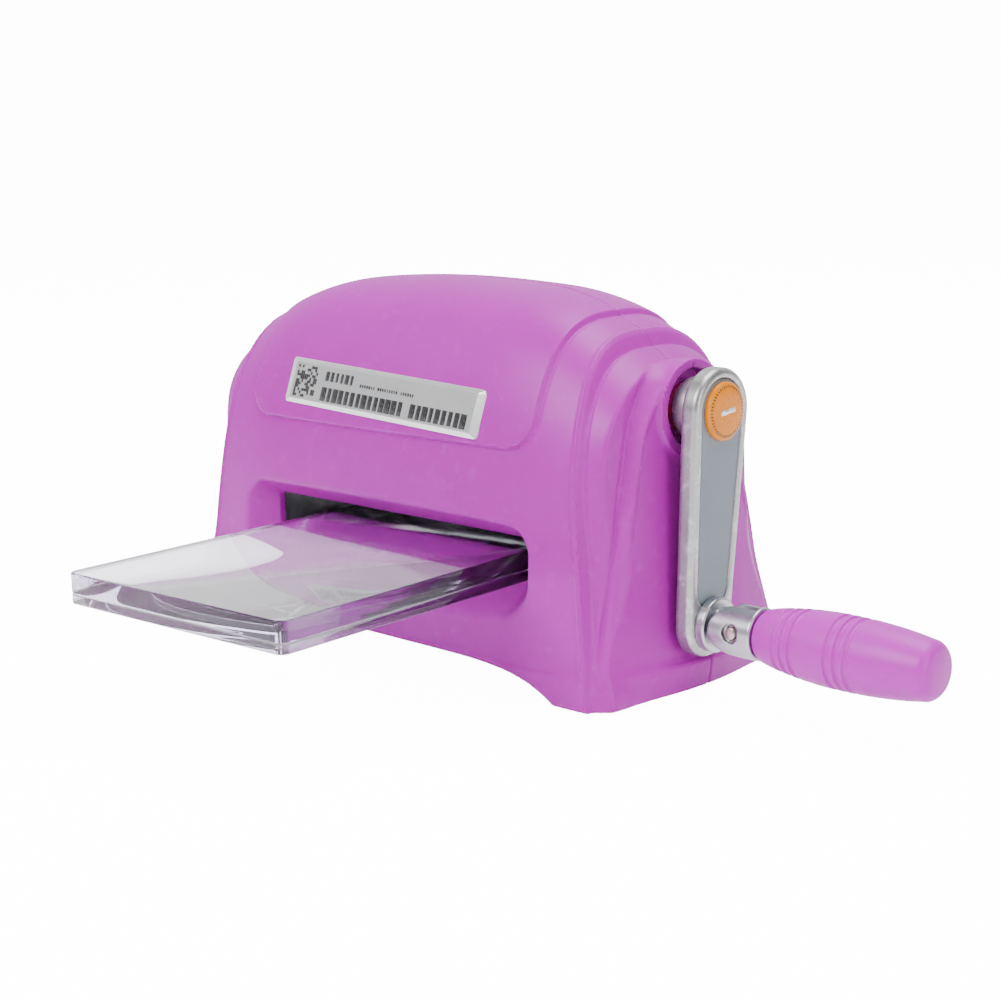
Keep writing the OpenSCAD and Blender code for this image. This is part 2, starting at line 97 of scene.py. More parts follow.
def ramp(start, end, t):
    s = np.clip((t - start) / (end - start), 0, 1)
    return s * s * (3 - 2 * s)


def rounded_box(px, pz, half_x, half_z, r):
    qx = np.abs(px) - half_x + r
    qz = np.abs(pz) - half_z + r
    return np.hypot(np.maximum(qx, 0), np.maximum(qz, 0)) + np.minimum(np.maximum(qx, qz), 0) - r


def tapered_link(y, z, top_r, low_r, length):
    """Distance to a link with round ends, hanging down from the origin."""
    y = np.abs(y)
    sine = (top_r - low_r) / length
    cosine = math.sqrt(1 - sine * sine)
    down = -z
    side = cosine * y + sine * down - top_r
    k = cosine * down - sine * y
    top = np.hypot(y, down) - top_r
    low = np.hypot(y, down - length) - low_r
    return np.where(k < 0, top, np.where(k > cosine * length, low, side))


def rounded_slab(outline, across, half, r):
    """An outline's distance given a thickness, with rounded edges."""
    a = outline + r
    b = np.abs(across) - half + r
    return np.minimum(np.maximum(a, b), 0) + np.hypot(np.maximum(a, 0), np.maximum(b, 0)) - r


# ---- The case ----

def crest(ax):
    return CASE_TOP - 0.00137 * ax * ax - 0.0061 * np.maximum(ax - 30, 0) ** 2


def end_x(z):
    return 77 - 0.0647 * z - 0.0003 * z * z


def edge_x(z):
    """Where the front's edge to the bevel runs: close to the corner at the foot, further in at the top."""
    return 72 - 12 * (np.clip(z, 0, 90) / 85) ** 1.5 - 2 * ramp(0, 28, z) * (1 - ramp(40, 80, z))


def loaf(ax, ay, z, inset=0.0):
    """Round-topped body of the case with the bevels at its ends."""
    ax = np.minimum(ax, 82)
    past = np.maximum(ax - edge_x(z), 0)
    slope = np.where(z < 30, 0.8 + 0.45 * z / 30, 1.25 - 1.25 * ramp(30, 68, z))
    pull = 1 + 2.8 * ramp(0, 28, z)
    width = CASE_HALF_DEPTH - pull * (ax / CORNER_X) ** 2 - slope * past - inset
    height = crest(ax) - inset
    boxy = ramp(12, 60, ax)
    p = 2.3 + 0.7 * boxy
    q = 3.0 + 0.2 * boxy
    u = np.maximum(ay, 1e-3) / width
    v = np.maximum(z, 0) / height
    up = u ** p
    vq = v ** q
    dy = p * up / np.maximum(ay, 1e-3)
    dz = q * vq / np.maximum(z, 1e-3)
    dwidth = 2 * pull * ax / CORNER_X ** 2 + slope * (past > 0)
    dheight = 0.00274 * ax + 0.0122 * np.maximum(ax - 30, 0)
    dx = up * p * dwidth / width + vq * q * dheight / height
    return (up + vq - 1) / np.maximum(np.sqrt(dx * dx + dy * dy + dz * dz), 0.012)


def arch_height(ax):
    share = np.minimum(ax / ARCH_HALF, 1)
    return FOOT_LIFT + ARCH_RISE * (1 - share ** 6.3)


def bell(ay, z, ys, tops):
    """Distance to one outline of the boss, less than 0 inside it."""
    top = np.interp(ay, ys, tops)
    fall = np.interp(ay, ys, np.gradient(tops, ys))
    return (z - top) / np.sqrt(1 + fall * fall)


def end_panel(ax, ay, z):
    """The end of the case with its bell-shaped boss."""
    foot = bell(ay, z, BELL_Y, BELL_FOOT)
    face = bell(ay, z, BELL_FACE_Y, BELL_FACE)
    width = np.maximum(face - foot, 0.9)
    share = np.clip(-foot / width, 0, 1)
    share = share ** 1.7
    rounding = (0.3 + 0.7 * ramp(2, 14, z)) * (1 - 0.8 * ramp(45, 75, z))
    flat = end_x(z) - 0.6 * ramp(8, 24, z) - 0.0043 * ay * ay * rounding
    flat = flat - 0.45 * np.exp(-((foot - 0.3) / 0.8) ** 2) * ramp(8, 20, z)
    raised = 77.6 - 0.0647 * z - 0.0036 * ay * ay * rounding
    bead = 0.3 * np.exp(-((face + 0.6) / 0.6) ** 2) * ramp(10, 20, z)
    return (ax - flat - share * (raised - flat) - bead) * 0.93


def ledge(ax, ay, z, body):
    """Curved ledge at the foot of the end."""
    out = 80 - 7.6 * (ay / 33) ** 2 - 1.2 * (np.maximum(LEDGE_TOP - z, 0) / 8) ** 1.2
    return smooth_max(smooth_max(ax - out, z - LEDGE_TOP, 1.3), body, 0.9)


def mouth(x, ay, z):
    """The slot and the ramps that lead into it."""
    share = np.clip((ay - MOUTH_FLOOR) / 10, 0, 1.2)
    middle = SLOT_X + (MOUTH_X - SLOT_X) * share
    half = SLOT_HALF + (MOUTH_HALF - SLOT_HALF) * share
    mid = SLOT_MID + (MOUTH_MID - SLOT_MID) * share
    tall = SLOT_HALF_HEIGHT + (MOUTH_HALF_HEIGHT - SLOT_HALF_HEIGHT) * share
    corner = SLOT_CORNER + (MOUTH_CORNER - SLOT_CORNER) * share
    flat = rounded_box(x - middle, z - mid, half, tall, corner)
    return flat / (1 + 0.4 * (share > 0))


def label_frame(x, y, z):
    """Along, up and out of the slope that carries the label."""
    sine, cosine = math.sin(LABEL_LEAN), math.cos(LABEL_LEAN)
    dy, dz = y - LABEL_AT[1], z - LABEL_AT[2]
    return x, sine * dy + cosine * dz, -cosine * dy + sine * dz


def case_outside(x, ay, z):
    ax = np.abs(x)
    body = loaf(ax, ay, z)
    saddle = rounded_box(ax, z - SADDLE_LOW - 60, SADDLE_HALF, 60, SADDLE_CORNER)
    ditch = 0.35 * np.exp(-((saddle - 0.45) / 0.5) ** 2)
    body = body + (SADDLE_STEP * ramp(-0.35, 0.45, saddle) + ditch) * ramp(2, 40, z)
    past = ax - edge_x(z)
    body = body + (0.75 + 0.75 * ramp(58, 84, z)) * ramp(-0.1, 0.6 + 0.4 * ramp(58, 84, z), past)
    body = body - 0.45 * np.exp(-((past + 0.75) / 0.55) ** 2) * ramp(2, 12, z)
    body = body + 0.55 * np.exp(-((past - 0.95) / 0.55) ** 2) * ramp(6, 16, z)
    panel = end_panel(ax, ay, z)
    solid = smooth_max(body, panel, 0.8)
    foot = ledge(ax, ay, z, body)
    solid = smooth_min(solid, foot, 1.0 + 1.2 * (1 - np.minimum(ay / 32, 1) ** 2))
    hollow = smooth_max(loaf(ax, ay, z) + WALL + 2.6, panel + WALL + 1.2, 3.0)
    return smooth_max(solid, arch_height(ax) - z, 0.9), hollow


def case_half(x, y, z, front=True):
    """The front half of the case; y is 0 at the seam and less than 0 in front."""
    ax, ay = np.abs(x), np.abs(y)
    solid, inside = case_outside(x, ay, z)
    opening = mouth(x, ay, z)
    solid = smooth_max(solid, -np.maximum(opening, 24 - ay), 0.9)
    block = np.maximum(opening - 1.8, MOUTH_FLOOR - 1.8 - ay)
    inside = np.maximum(inside, -block)
    if front:
        u, v, w = label_frame(x, y, z)
        pocket = np.maximum(rounded_box(u, v, POCKET_HALF[0], POCKET_HALF[1], 1.6), -w - POCKET_DEPTH)
        solid = smooth_max(solid, -np.maximum(pocket, -20 - y), 0.7)
        around = rounded_box(u, v, POCKET_HALF[0] + 2, POCKET_HALF[1] + 2, 2)
        thick = np.maximum(around, -w - POCKET_DEPTH - 1.6)
        inside = np.maximum(inside, -thick)
    r = np.hypot(y, z - CRANK_Z)
    boss = np.maximum(r - 12.5, 69.3 - x)
    inside = np.maximum(inside, -boss)
    solid = np.maximum(solid, -inside)
    hood = np.maximum(np.abs(r - 10.3) - 1.1, np.abs(x - 71.6) - 2.6)
    solid = smooth_min(solid, hood, 2.0)
    solid = smooth_max(solid, -np.maximum(r - HOLE_R, 71.4 - x), 0.8)
    groove = np.maximum(np.maximum(r - HOLE_R, 6.8 - r), 70.5 - x)
    solid = np.maximum(solid, -groove)
    solid = np.maximum(solid, -np.maximum(r - BUSH_R, 60 - x))
    return smooth_max(solid, y + 0.05, 0.7)


# ---- Meshes from distance fields ----

def graded(low, high, wide, bands=()):
    """Grid lines from low to high, wide apart, and closer together in the bands (start, end, spacing)."""
    lines = [low]
    while lines[-1] < high:
        step = wide
        for start, end, fine in bands:
            if start - wide < lines[-1] < end:
                step = min(step, fine)
        lines.append(lines[-1] + step * 1.0)
    return np.array(lines)


def slope_of(field, p, h=0.02):
    """Direction in which the field grows, at each point."""
    g = np.empty_like(p)
    for axis in range(3):
        d = np.zeros(3)
        d[axis] = h
        a, b = p + d, p - d
        g[:, axis] = field(a[:, 0], a[:, 1], a[:, 2]) - field(b[:, 0], b[:, 1], b[:, 2])
    return g / np.maximum(np.linalg.norm(g, axis=1), 1e-9)[:, None]


def contour(field, xs, ys, zs):
    """Closed mesh where the field is 0: one vertex in each crossed cell, placed to keep its edges."""
    lines = (xs, ys, zs)
    shape = tuple(len(a) for a in lines)
    values = np.empty(shape, np.float64)
    for i in range(0, shape[0], 12):
        gx, gy, gz = np.meshgrid(xs[i:i + 12], ys, zs, indexing="ij")
        values[i:i + 12] = field(gx, gy, gz)
    inside = values < 0
    cells = (shape[0] - 1, shape[1] - 1, shape[2] - 1)
    stride = np.array([cells[1] * cells[2], cells[2], 1])
    cell_lists, points, slopes, rings = [], [], [], []
    for axis in range(3):
        low = [slice(None)] * 3
        high = [slice(None)] * 3
        low[axis], high[axis] = slice(0, -1), slice(1, None)
        low, high = tuple(low), tuple(high)
        crossed = np.argwhere(inside[low] != inside[high])
        others = [k for k in range(3) if k != axis]
        keep = np.ones(len(crossed), bool)
        for k in others:
            keep &= (crossed[:, k] > 0) & (crossed[:, k] < shape[k] - 1)
        crossed = crossed[keep]
        a = np.stack([lines[k][crossed[:, k]] for k in range(3)], 1)
        b = a.copy()
        b[:, axis] = lines[axis][crossed[:, axis] + 1]
        va = values[tuple(crossed.T)]
        ends_inside = va < 0
        for _ in range(7):
            m = (a + b) / 2
            vm = field(m[:, 0], m[:, 1], m[:, 2])
            same = (vm < 0) == ends_inside
            a = np.where(same[:, None], m, a)
            b = np.where(same[:, None], b, m)
        p = (a + b) / 2
        n = slope_of(field, p)
        first, second = others
        corners = []
        for d1, d2 in ((0, 0), (-1, 0), (-1, -1), (0, -1)):
            c = crossed.copy()
            c[:, first] += d1
            c[:, second] += d2
            corners.append(c @ stride)
        ring = np.stack(corners, 1)
        turn = ends_inside if axis != 1 else ~ends_inside
        ring = np.where(turn[:, None], ring, ring[:, ::-1])
        rings.append(ring)
        for c in corners:
            cell_lists.append(c)
            points.append(p)
            slopes.append(n)
    cell = np.concatenate(cell_lists)
    p = np.concatenate(points)
    n = np.concatenate(slopes)
    used, index = np.unique(cell, return_inverse=True)
    count = len(used)
    total = np.bincount(index, minlength=count)
    middle = np.stack([np.bincount(index, p[:, k], count) / total for k in range(3)], 1)
    offset = np.einsum("ij,ij->i", n, p - middle[index])
    ata = np.zeros((count, 3, 3))
    atb = np.zeros((count, 3))
    for k in range(3):
        atb[:, k] = np.bincount(index, n[:, k] * offset, count)
        for m in range(3):
            ata[:, k, m] = np.bincount(index, n[:, k] * n[:, m], count)
    ata += np.eye(3) * (0.04 * total)[:, None, None]
    moved = np.linalg.solve(ata, atb[:, :, None])[:, :, 0]
    place = np.stack([used // stride[0], (used // stride[1]) % cells[1], used % cells[2]], 1)
    low = np.stack([lines[k][place[:, k]] for k in range(3)], 1)
    high = np.stack([lines[k][place[:, k] + 1] for k in range(3)], 1)
    vertices = np.clip(middle + moved, low, high)
    faces = np.searchsorted(used, np.concatenate(rings))
    return vertices, faces


def mesh_object(name, vertices, faces, material, smooth=True):
    """A new object whose mesh has these vertices, in millimetres."""
    mesh = bpy.data.meshes.new(name)
    mesh.from_pydata((np.asarray(vertices, float) * MM).tolist(), [], [list(map(int, f)) for f in faces])
    mesh.update()
    if smooth:
        mesh.shade_smooth()
    mesh.materials.append(material)
    obj = bpy.data.objects.new(name, mesh)
    bpy.context.scene.collection.objects.link(obj)
    return obj


def thin_out(obj, most):
    """Takes triangles out of a mesh until it has at most this many."""
    count = sum(len(f.vertices) - 2 for f in obj.data.polygons)
    if count <= most:
        return
    thinner = obj.modifiers.new("thinner", "DECIMATE")
    thinner.ratio = most / count
    graph = bpy.context.evaluated_depsgraph_get()
    mesh = bpy.data.meshes.new_from_object(obj.evaluated_get(graph))
    obj.modifiers.remove(thinner)
    obj.data = mesh
    mesh.name = obj.name


def shaped(name, field, xs, ys, zs, material, most=190000, place=None, mirrored=False):
    """A piece made from a distance field, shaded with the field's own slope."""
    vertices, faces = contour(field, xs, ys, zs)
    obj = mesh_object(name, vertices, faces, material)
    thin_out(obj, most)
    mesh = obj.data
    co = np.empty(len(mesh.vertices) * 3)
    mesh.vertices.foreach_get("co", co)
    co = co.reshape(-1, 3) / MM
    normals = slope_of(field, co, 0.05)
    if mirrored:
        co[:, 1] *= -1
        normals[:, 1] *= -1
        mesh.flip_normals()
    if place is not None:
        turn = np.array(place.to_3x3())
        co = co @ turn.T + np.array(place.translation)
        normals = normals @ turn.T
    mesh.vertices.foreach_set("co", (co * MM).ravel())
    mesh.update()
    mesh.shade_smooth()
    mesh.normals_split_custom_set_from_vertices(normals.tolist())
    return obj


def turned(name, profile, material, steps=96, place=None, sharp=35):
    """A turned piece, from profile points (x along the axis, radius) that run from end to end."""
    steps = steps
    rings, vertices, faces = [], [], []
    for x, r in profile:
        if r < 1e-6:
            rings.append([len(vertices)])
            vertices.append((x, 0, 0))
            continue
        start = len(vertices)
        for i in range(steps):
            a = 2 * math.pi * i / steps
            vertices.append((x, r * math.cos(a), r * math.sin(a)))
        rings.append(list(range(start, start + steps)))
    for one, two in zip(rings, rings[1:]):
        for i in range(steps):
            j = (i + 1) % steps
            if len(one) == 1 and len(two) == 1:
                break
            if len(one) == 1:
                faces.append((one[0], two[j], two[i]))
            elif len(two) == 1:
                faces.append((one[i], one[j], two[0]))
            else:
                faces.append((one[i], one[j], two[j], two[i]))
    if place is not None:
        vertices = [tuple(place @ Vector(v)) for v in vertices]
    obj = mesh_object(name, vertices, faces, material)
    set_sharp(obj, sharp)
    return obj


def set_sharp(obj, degrees):
    """Smooth shading with a crease wherever two faces meet at more than this angle."""
    bm = bmesh.new()
    bm.from_mesh(obj.data)
    bmesh.ops.recalc_face_normals(bm, faces=bm.faces)
    for edge in bm.edges:
        if len(edge.link_faces) == 2:
            edge.smooth = edge.calc_face_angle(0.0) < math.radians(degrees)
    bm.to_mesh(obj.data)
    bm.free()


def rounded_profile(points, r, steps=5):
    """Profile points with the corners between them rounded."""
    made = [points[0]]
    for a, b, c in zip(points, points[1:], points[2:]):
        a, b, c = Vector(a), Vector(b), Vector(c)
        one, two = a - b, c - b
        cut = min(r, one.length * 0.45, two.length * 0.45)
        p, q = b + one.normalized() * cut, b + two.normalized() * cut
        for i in range(steps + 1):
            t = i / steps
            made.append(tuple(p * (1 - t) ** 2 + b * 2 * t * (1 - t) + q * t * t))
    made.append(points[-1])
    return made


# ---- Printed marks ----

def feature_group(name, inputs):
    """Empty Geometry Nodes group with named inputs, and its input and output nodes."""
    tree = bpy.data.node_groups.new(name, "GeometryNodeTree")
    for label, kind, value in inputs:
        socket = tree.interface.new_socket(name=label, in_out="INPUT", socket_type=kind)
        if value is not None:
            socket.default_value = value
    tree.interface.new_socket(name="Geometry", in_out="OUTPUT", socket_type="NodeSocketGeometry")
    return tree, tree.nodes.new("NodeGroupInput").outputs, tree.nodes.new("NodeGroupOutput")


def finish_feature(tree, given, result, instances):
    """Real geometry with the chosen material at the end of a group."""
    real = tree.nodes.new("GeometryNodeRealizeInstances")
    tree.links.new(instances, real.inputs["Geometry"])
    paint = tree.nodes.new("GeometryNodeSetMaterial")
    tree.links.new(real.outputs["Geometry"], paint.inputs["Geometry"])
    tree.links.new(given["Material"], paint.inputs["Material"])
    tree.links.new(paint.outputs["Geometry"], result.inputs["Geometry"])
    return tree


def build_tick_ring():
    """Ring of small ticks that point to the centre, leaning with a domed face."""
    tree, given, result = feature_group("tick_ring", [
        ("Count", "NodeSocketInt", 40), ("Radius", "NodeSocketFloat", 5.9),
        ("Length", "NodeSocketFloat", 0.6), ("Width", "NodeSocketFloat", 0.2),
        ("Thickness", "NodeSocketFloat", 0.1), ("Lean", "NodeSocketFloat", 0.2),
        ("Material", "NodeSocketMaterial", None)])
    ring = node(tree, "GeometryNodeMeshCircle", None, Vertices=given["Count"], Radius=given["Radius"])
    size = node(tree, "ShaderNodeCombineXYZ", None, X=given["Length"], Y=given["Width"], Z=given["Thickness"])
    tick = node(tree, "GeometryNodeMeshCube", None, Size=size.outputs[0])
    leaning = node(tree, "ShaderNodeCombineXYZ", None, Y=given["Lean"])
    turned_tick = node(tree, "GeometryNodeTransform", None, Geometry=tick.outputs["Mesh"],
                       Rotation=leaning.outputs[0])
    step = maths(tree, "DIVIDE", math.tau, given["Count"])
    angle = maths(tree, "MULTIPLY", tree.nodes.new("GeometryNodeInputIndex").outputs[0], step)
    around = node(tree, "ShaderNodeCombineXYZ", None, Z=angle)
    placed = node(tree, "GeometryNodeInstanceOnPoints", None, Points=ring.outputs["Mesh"],
                  Instance=turned_tick.outputs["Geometry"], Rotation=around.outputs[0])
    return finish_feature(tree, given, result, placed.outputs["Instances"])


def build_mark_rows():
    """Rows of flat rectangular marks, some left out, with uneven widths."""
    tree, given, result = feature_group("mark_rows", [
        ("Columns", "NodeSocketInt", 10), ("Rows", "NodeSocketInt", 1), ("Pitch", "NodeSocketFloat", 1.0),
        ("Mark Width", "NodeSocketFloat", 0.6), ("Mark Height", "NodeSocketFloat", 1.0),
        ("Thickness", "NodeSocketFloat", 0.05), ("Left Out", "NodeSocketFloat", 0.1),
        ("Uneven", "NodeSocketFloat", 0.3), ("Seed", "NodeSocketInt", 1),
        ("Material", "NodeSocketMaterial", None)])
    wide = maths(tree, "MULTIPLY", maths(tree, "SUBTRACT", given["Columns"], 1.0), given["Pitch"])
    tall = maths(tree, "MULTIPLY", maths(tree, "SUBTRACT", given["Rows"], 1.0), given["Pitch"])
    grid = node(tree, "GeometryNodeMeshGrid", None, Size_X=wide, Size_Y=tall, Vertices_X=given["Columns"],
                Vertices_Y=given["Rows"])
    drop = node(tree, "FunctionNodeRandomValue", {"data_type": "BOOLEAN"}, Probability=given["Left Out"],
                Seed=given["Seed"])
    kept = node(tree, "GeometryNodeDeleteGeometry", {"domain": "POINT"}, Geometry=grid.outputs["Mesh"],
                Selection=drop.outputs[3])
    size = node(tree, "ShaderNodeCombineXYZ", None, X=given["Mark Width"], Y=given["Mark Height"],
                Z=given["Thickness"])
    mark = node(tree, "GeometryNodeMeshCube", None, Size=size.outputs[0])
    least = maths(tree, "SUBTRACT", 1.0, given["Uneven"])
    most = maths(tree, "ADD", 1.0, given["Uneven"])
    pick = node(tree, "FunctionNodeRandomValue", {"data_type": "FLOAT"}, _2=least, _3=most,
                Seed=given["Seed"])
    scale = node(tree, "ShaderNodeCombineXYZ", None, X=pick.outputs[1], Y=1.0, Z=1.0)
    placed = node(tree, "GeometryNodeInstanceOnPoints", None, Points=kept.outputs["Geometry"],
                  Instance=mark.outputs["Mesh"], Scale=scale.outputs[0])
    return finish_feature(tree, given, result, placed.outputs["Instances"])


def marks(group, at, material, **settings):
    """Vertices and faces of one patch of marks made by a group."""
    obj = bpy.data.objects.new("marks", bpy.data.meshes.new("marks"))
    bpy.context.scene.collection.objects.link(obj)
    modifier = obj.modifiers.new("marks", "NODES")
    modifier.node_group = group
    settings["Material"] = material
    for item in group.interface.items_tree:
        label = item.name.replace(" ", "_")
        if item.in_out == "INPUT" and label in settings:
            modifier[item.identifier] = settings[label]
    mesh = bpy.data.meshes.new_from_object(obj.evaluated_get(bpy.context.evaluated_depsgraph_get()))
    obj.modifiers.clear()
    bpy.data.objects.remove(obj)
    return [tuple(Vector(at) + v.co) for v in mesh.vertices], [tuple(f.vertices) for f in mesh.polygons]


def printed(name, place, material, *patches):
    """One mesh from several patches of marks, put in its place."""
    vertices, faces = [], []
    for more_vertices, more_faces in patches:
        first = len(vertices)
        vertices += [tuple(place @ Vector(v)) for v in more_vertices]
        faces += [tuple(first + i for i in face) for face in more_faces]
    return mesh_object(name, vertices, faces, material)


def strokes(width, low, high, *lines):
    """Flat bars from point to point, as one patch."""
    vertices, faces = [], []
    for (ax, ay), (bx, by) in lines:
        along = Vector((bx - ax, by - ay)).normalized()
        side = Vector((-along.y, along.x)) * width / 2
        first = len(vertices)
        for z in (low, high):
            for x, y, sign in ((ax, ay, -1), (bx, by, -1), (bx, by, 1), (ax, ay, 1)):
                vertices.append((x + side.x * sign, y + side.y * sign, z))
        faces += [tuple(first + i for i in face) for face in (
            (3, 2, 1, 0), (4, 5, 6, 7), (0, 1, 5, 4), (1, 2, 6, 5), (2, 3, 7, 6), (3, 0, 4, 7))]
    return vertices, faces


# ---- Shader node groups ----

def shader_group(name, inputs, outputs):
    tree = bpy.data.node_groups.new(name, "ShaderNodeTree")
    for label, kind, value in inputs:
        socket = tree.interface.new_socket(name=label, in_out="INPUT", socket_type=kind)
        socket.default_value = value
    for label, kind in outputs:
        tree.interface.new_socket(name=label, in_out="OUTPUT", socket_type=kind)
    return tree, tree.nodes.new("NodeGroupInput"), tree.nodes.new("NodeGroupOutput")


def node(tree, kind, settings=None, **inputs):
    """A node with its settings, and its inputs either a value or a socket to link."""
    made = tree.nodes.new(kind)
    for key, value in (settings or {}).items():
        setattr(made, key, value)
    for key, value in inputs.items():
        numbered = key[0] == "_" and key[1:].isdigit()
        slot = made.inputs[int(key[1:]) if numbered else key.replace("_", " ")]
        if isinstance(value, bpy.types.NodeSocket):
            tree.links.new(value, slot)
        else:
            slot.default_value = value
    return made


def maths(tree, operation, a, b=0.0):
    return node(tree, "ShaderNodeMath", {"operation": operation}, _0=a, _1=b).outputs[0]


def spread(tree, value, low, high, to_low=0.0, to_high=1.0):
    made = node(tree, "ShaderNodeMapRange", None, Value=value)
    made.inputs["From Min"].default_value = low
    made.inputs["From Max"].default_value = high
    for label, end in (("To Min", to_low), ("To Max", to_high)):
        if isinstance(end, bpy.types.NodeSocket):
            tree.links.new(end, made.inputs[label])
        else:
            made.inputs[label].default_value = end
    return made.outputs["Result"]


def build_moulded_grain():
    """Fine orange peel and flow marks of moulded plastic: a height and a roughness."""
    tree, given, result = shader_group(
        "moulded_grain",
        [("Grain Size", "NodeSocketFloat", 0.0006), ("Roughness Low", "NodeSocketFloat", 0.3),
         ("Roughness High", "NodeSocketFloat", 0.4)],
        [("Height", "NodeSocketFloat"), ("Roughness", "NodeSocketFloat")])
    place = node(tree, "ShaderNodeTexCoord").outputs["Object"]
    per_metre = maths(tree, "DIVIDE", 1.0, given.outputs["Grain Size"])
    fine = node(tree, "ShaderNodeTexNoise", None, Vector=place, Scale=per_metre, Detail=3.0, Roughness=0.55)
    broad = node(tree, "ShaderNodeTexNoise", None, Vector=place, Scale=38.0, Detail=2.0, Roughness=0.5)
    tree.links.new(fine.outputs["Fac"], result.inputs["Height"])
    mixed = maths(tree, "ADD", maths(tree, "MULTIPLY", fine.outputs["Fac"], 0.45),
                  maths(tree, "MULTIPLY", broad.outputs["Fac"], 0.55))
    rough = spread(tree, mixed, 0.35, 0.65, given.outputs["Roughness Low"], given.outputs["Roughness High"])
    tree.links.new(rough, result.inputs["Roughness"])
    return tree


def build_colour_drift():
    """Slow change between two tints, as pigment varies in a moulding or a paint."""
    tree, given, result = shader_group(
        "colour_drift",
        [("Tint A", "NodeSocketColor", (0.5, 0.5, 0.5, 1)), ("Tint B", "NodeSocketColor", (0.6, 0.6, 0.6, 1)),
         ("Patch Size", "NodeSocketFloat", 0.03)],
        [("Colour", "NodeSocketColor")])
    place = node(tree, "ShaderNodeTexCoord").outputs["Object"]
    per_metre = maths(tree, "DIVIDE", 1.0, given.outputs["Patch Size"])
    cloud = node(tree, "ShaderNodeTexNoise", None, Vector=place, Scale=per_metre, Detail=3.0, Roughness=0.6)
    share = spread(tree, cloud.outputs["Fac"], 0.35, 0.65)
    mix = node(tree, "ShaderNodeMix", {"data_type": "RGBA"}, _0=share)
    tree.links.new(given.outputs["Tint A"], mix.inputs[6])
    tree.links.new(given.outputs["Tint B"], mix.inputs[7])
    tree.links.new(mix.outputs[2], result.inputs["Colour"])
    return tree


def build_brushed_lines():
    """Fine lines left by turning or brushing: stretched noise as a height and a roughness."""
    tree, given, result = shader_group(
        "brushed_lines",
        [("Stretch", "NodeSocketVector", (60.0, 4000.0, 4000.0)), ("Roughness Low", "NodeSocketFloat", 0.2),
         ("Roughness High", "NodeSocketFloat", 0.4)],
        [("Height", "NodeSocketFloat"), ("Roughness", "NodeSocketFloat")])
    place = node(tree, "ShaderNodeTexCoord").outputs["Object"]
    long = node(tree, "ShaderNodeVectorMath", {"operation": "MULTIPLY"}, _0=place)
    tree.links.new(given.outputs["Stretch"], long.inputs[1])
    lines = node(tree, "ShaderNodeTexNoise", None, Vector=long.outputs[0], Scale=1.0, Detail=4.0,
                 Roughness=0.65)
    tree.links.new(lines.outputs["Fac"], result.inputs["Height"])
    rough = spread(tree, lines.outputs["Fac"], 0.3, 0.7, given.outputs["Roughness Low"],
                   given.outputs["Roughness High"])
    tree.links.new(rough, result.inputs["Roughness"])
    return tree


def build_edge_rub():
    """How much an edge is rubbed: bright where the surface is sharply convex and the noise lets it."""
    tree, given, result = shader_group(
        "edge_rub",
        [("Sharpness", "NodeSocketFloat", 0.53), ("Patchiness", "NodeSocketFloat", 0.4)],
        [("Mask", "NodeSocketFloat")])
    shape = node(tree, "ShaderNodeNewGeometry").outputs["Pointiness"]
    place = node(tree, "ShaderNodeTexCoord").outputs["Object"]
    cloud = node(tree, "ShaderNodeTexNoise", None, Vector=place, Scale=260.0, Detail=4.0, Roughness=0.6)
    over = maths(tree, "SUBTRACT", shape, given.outputs["Sharpness"])
    edge = maths(tree, "MULTIPLY", over, 14.0)
    patch = maths(tree, "SUBTRACT", cloud.outputs["Fac"], given.outputs["Patchiness"])
    both = node(tree, "ShaderNodeMath", {"operation": "MULTIPLY", "use_clamp": True}, _0=edge,
                _1=maths(tree, "MULTIPLY", patch, 6.0))
    tree.links.new(both.outputs[0], result.inputs["Mask"])
    return tree


def build_dust():
    """Sparse specks of dust."""
    tree, given, result = shader_group(
        "dust_specks",
        [("Speck Size", "NodeSocketFloat", 0.0012), ("Amount", "NodeSocketFloat", 0.12)],
        [("Mask", "NodeSocketFloat")])
    place = node(tree, "ShaderNodeTexCoord").outputs["Object"]
    per_metre = maths(tree, "DIVIDE", 1.0, given.outputs["Speck Size"])
    dots = node(tree, "ShaderNodeTexVoronoi", None, Vector=place, Scale=per_metre)
    near = maths(tree, "LESS_THAN", dots.outputs["Distance"], given.outputs["Amount"])
    tree.links.new(near, result.inputs["Mask"])
    return tree


TICK_RING = build_tick_ring()
MARK_ROWS = build_mark_rows()
GRAIN = build_moulded_grain()
DRIFT = build_colour_drift()
BRUSHED = build_brushed_lines()
RUB = build_edge_rub()
DUST = build_dust()


def use(tree, group, **inputs):
    made = tree.nodes.new("ShaderNodeGroup")
    made.node_tree = group
    for key, value in inputs.items():
        made.inputs[key.replace("_", " ")].default_value = value
    return made


def new_material(name):
    material = bpy.data.materials.new(name)
    material.use_nodes = True
    tree = material.node_tree
    tree.nodes.clear()
    shader = tree.nodes.new("ShaderNodeBsdfPrincipled")
    out = tree.nodes.new("ShaderNodeOutputMaterial")
    tree.links.new(shader.outputs[0], out.inputs["Surface"])
    return material, tree, shader


def bump(tree, shader, height, distance, strength=1.0):
    made = tree.nodes.new("ShaderNodeBump")
    made.inputs["Strength"].default_value = strength
    made.inputs["Distance"].default_value = distance
    tree.links.new(height, made.inputs["Height"])
    tree.links.new(made.outputs["Normal"], shader.inputs["Normal"])


def rgb(r, g, b):
    return (r, g, b, 1.0)


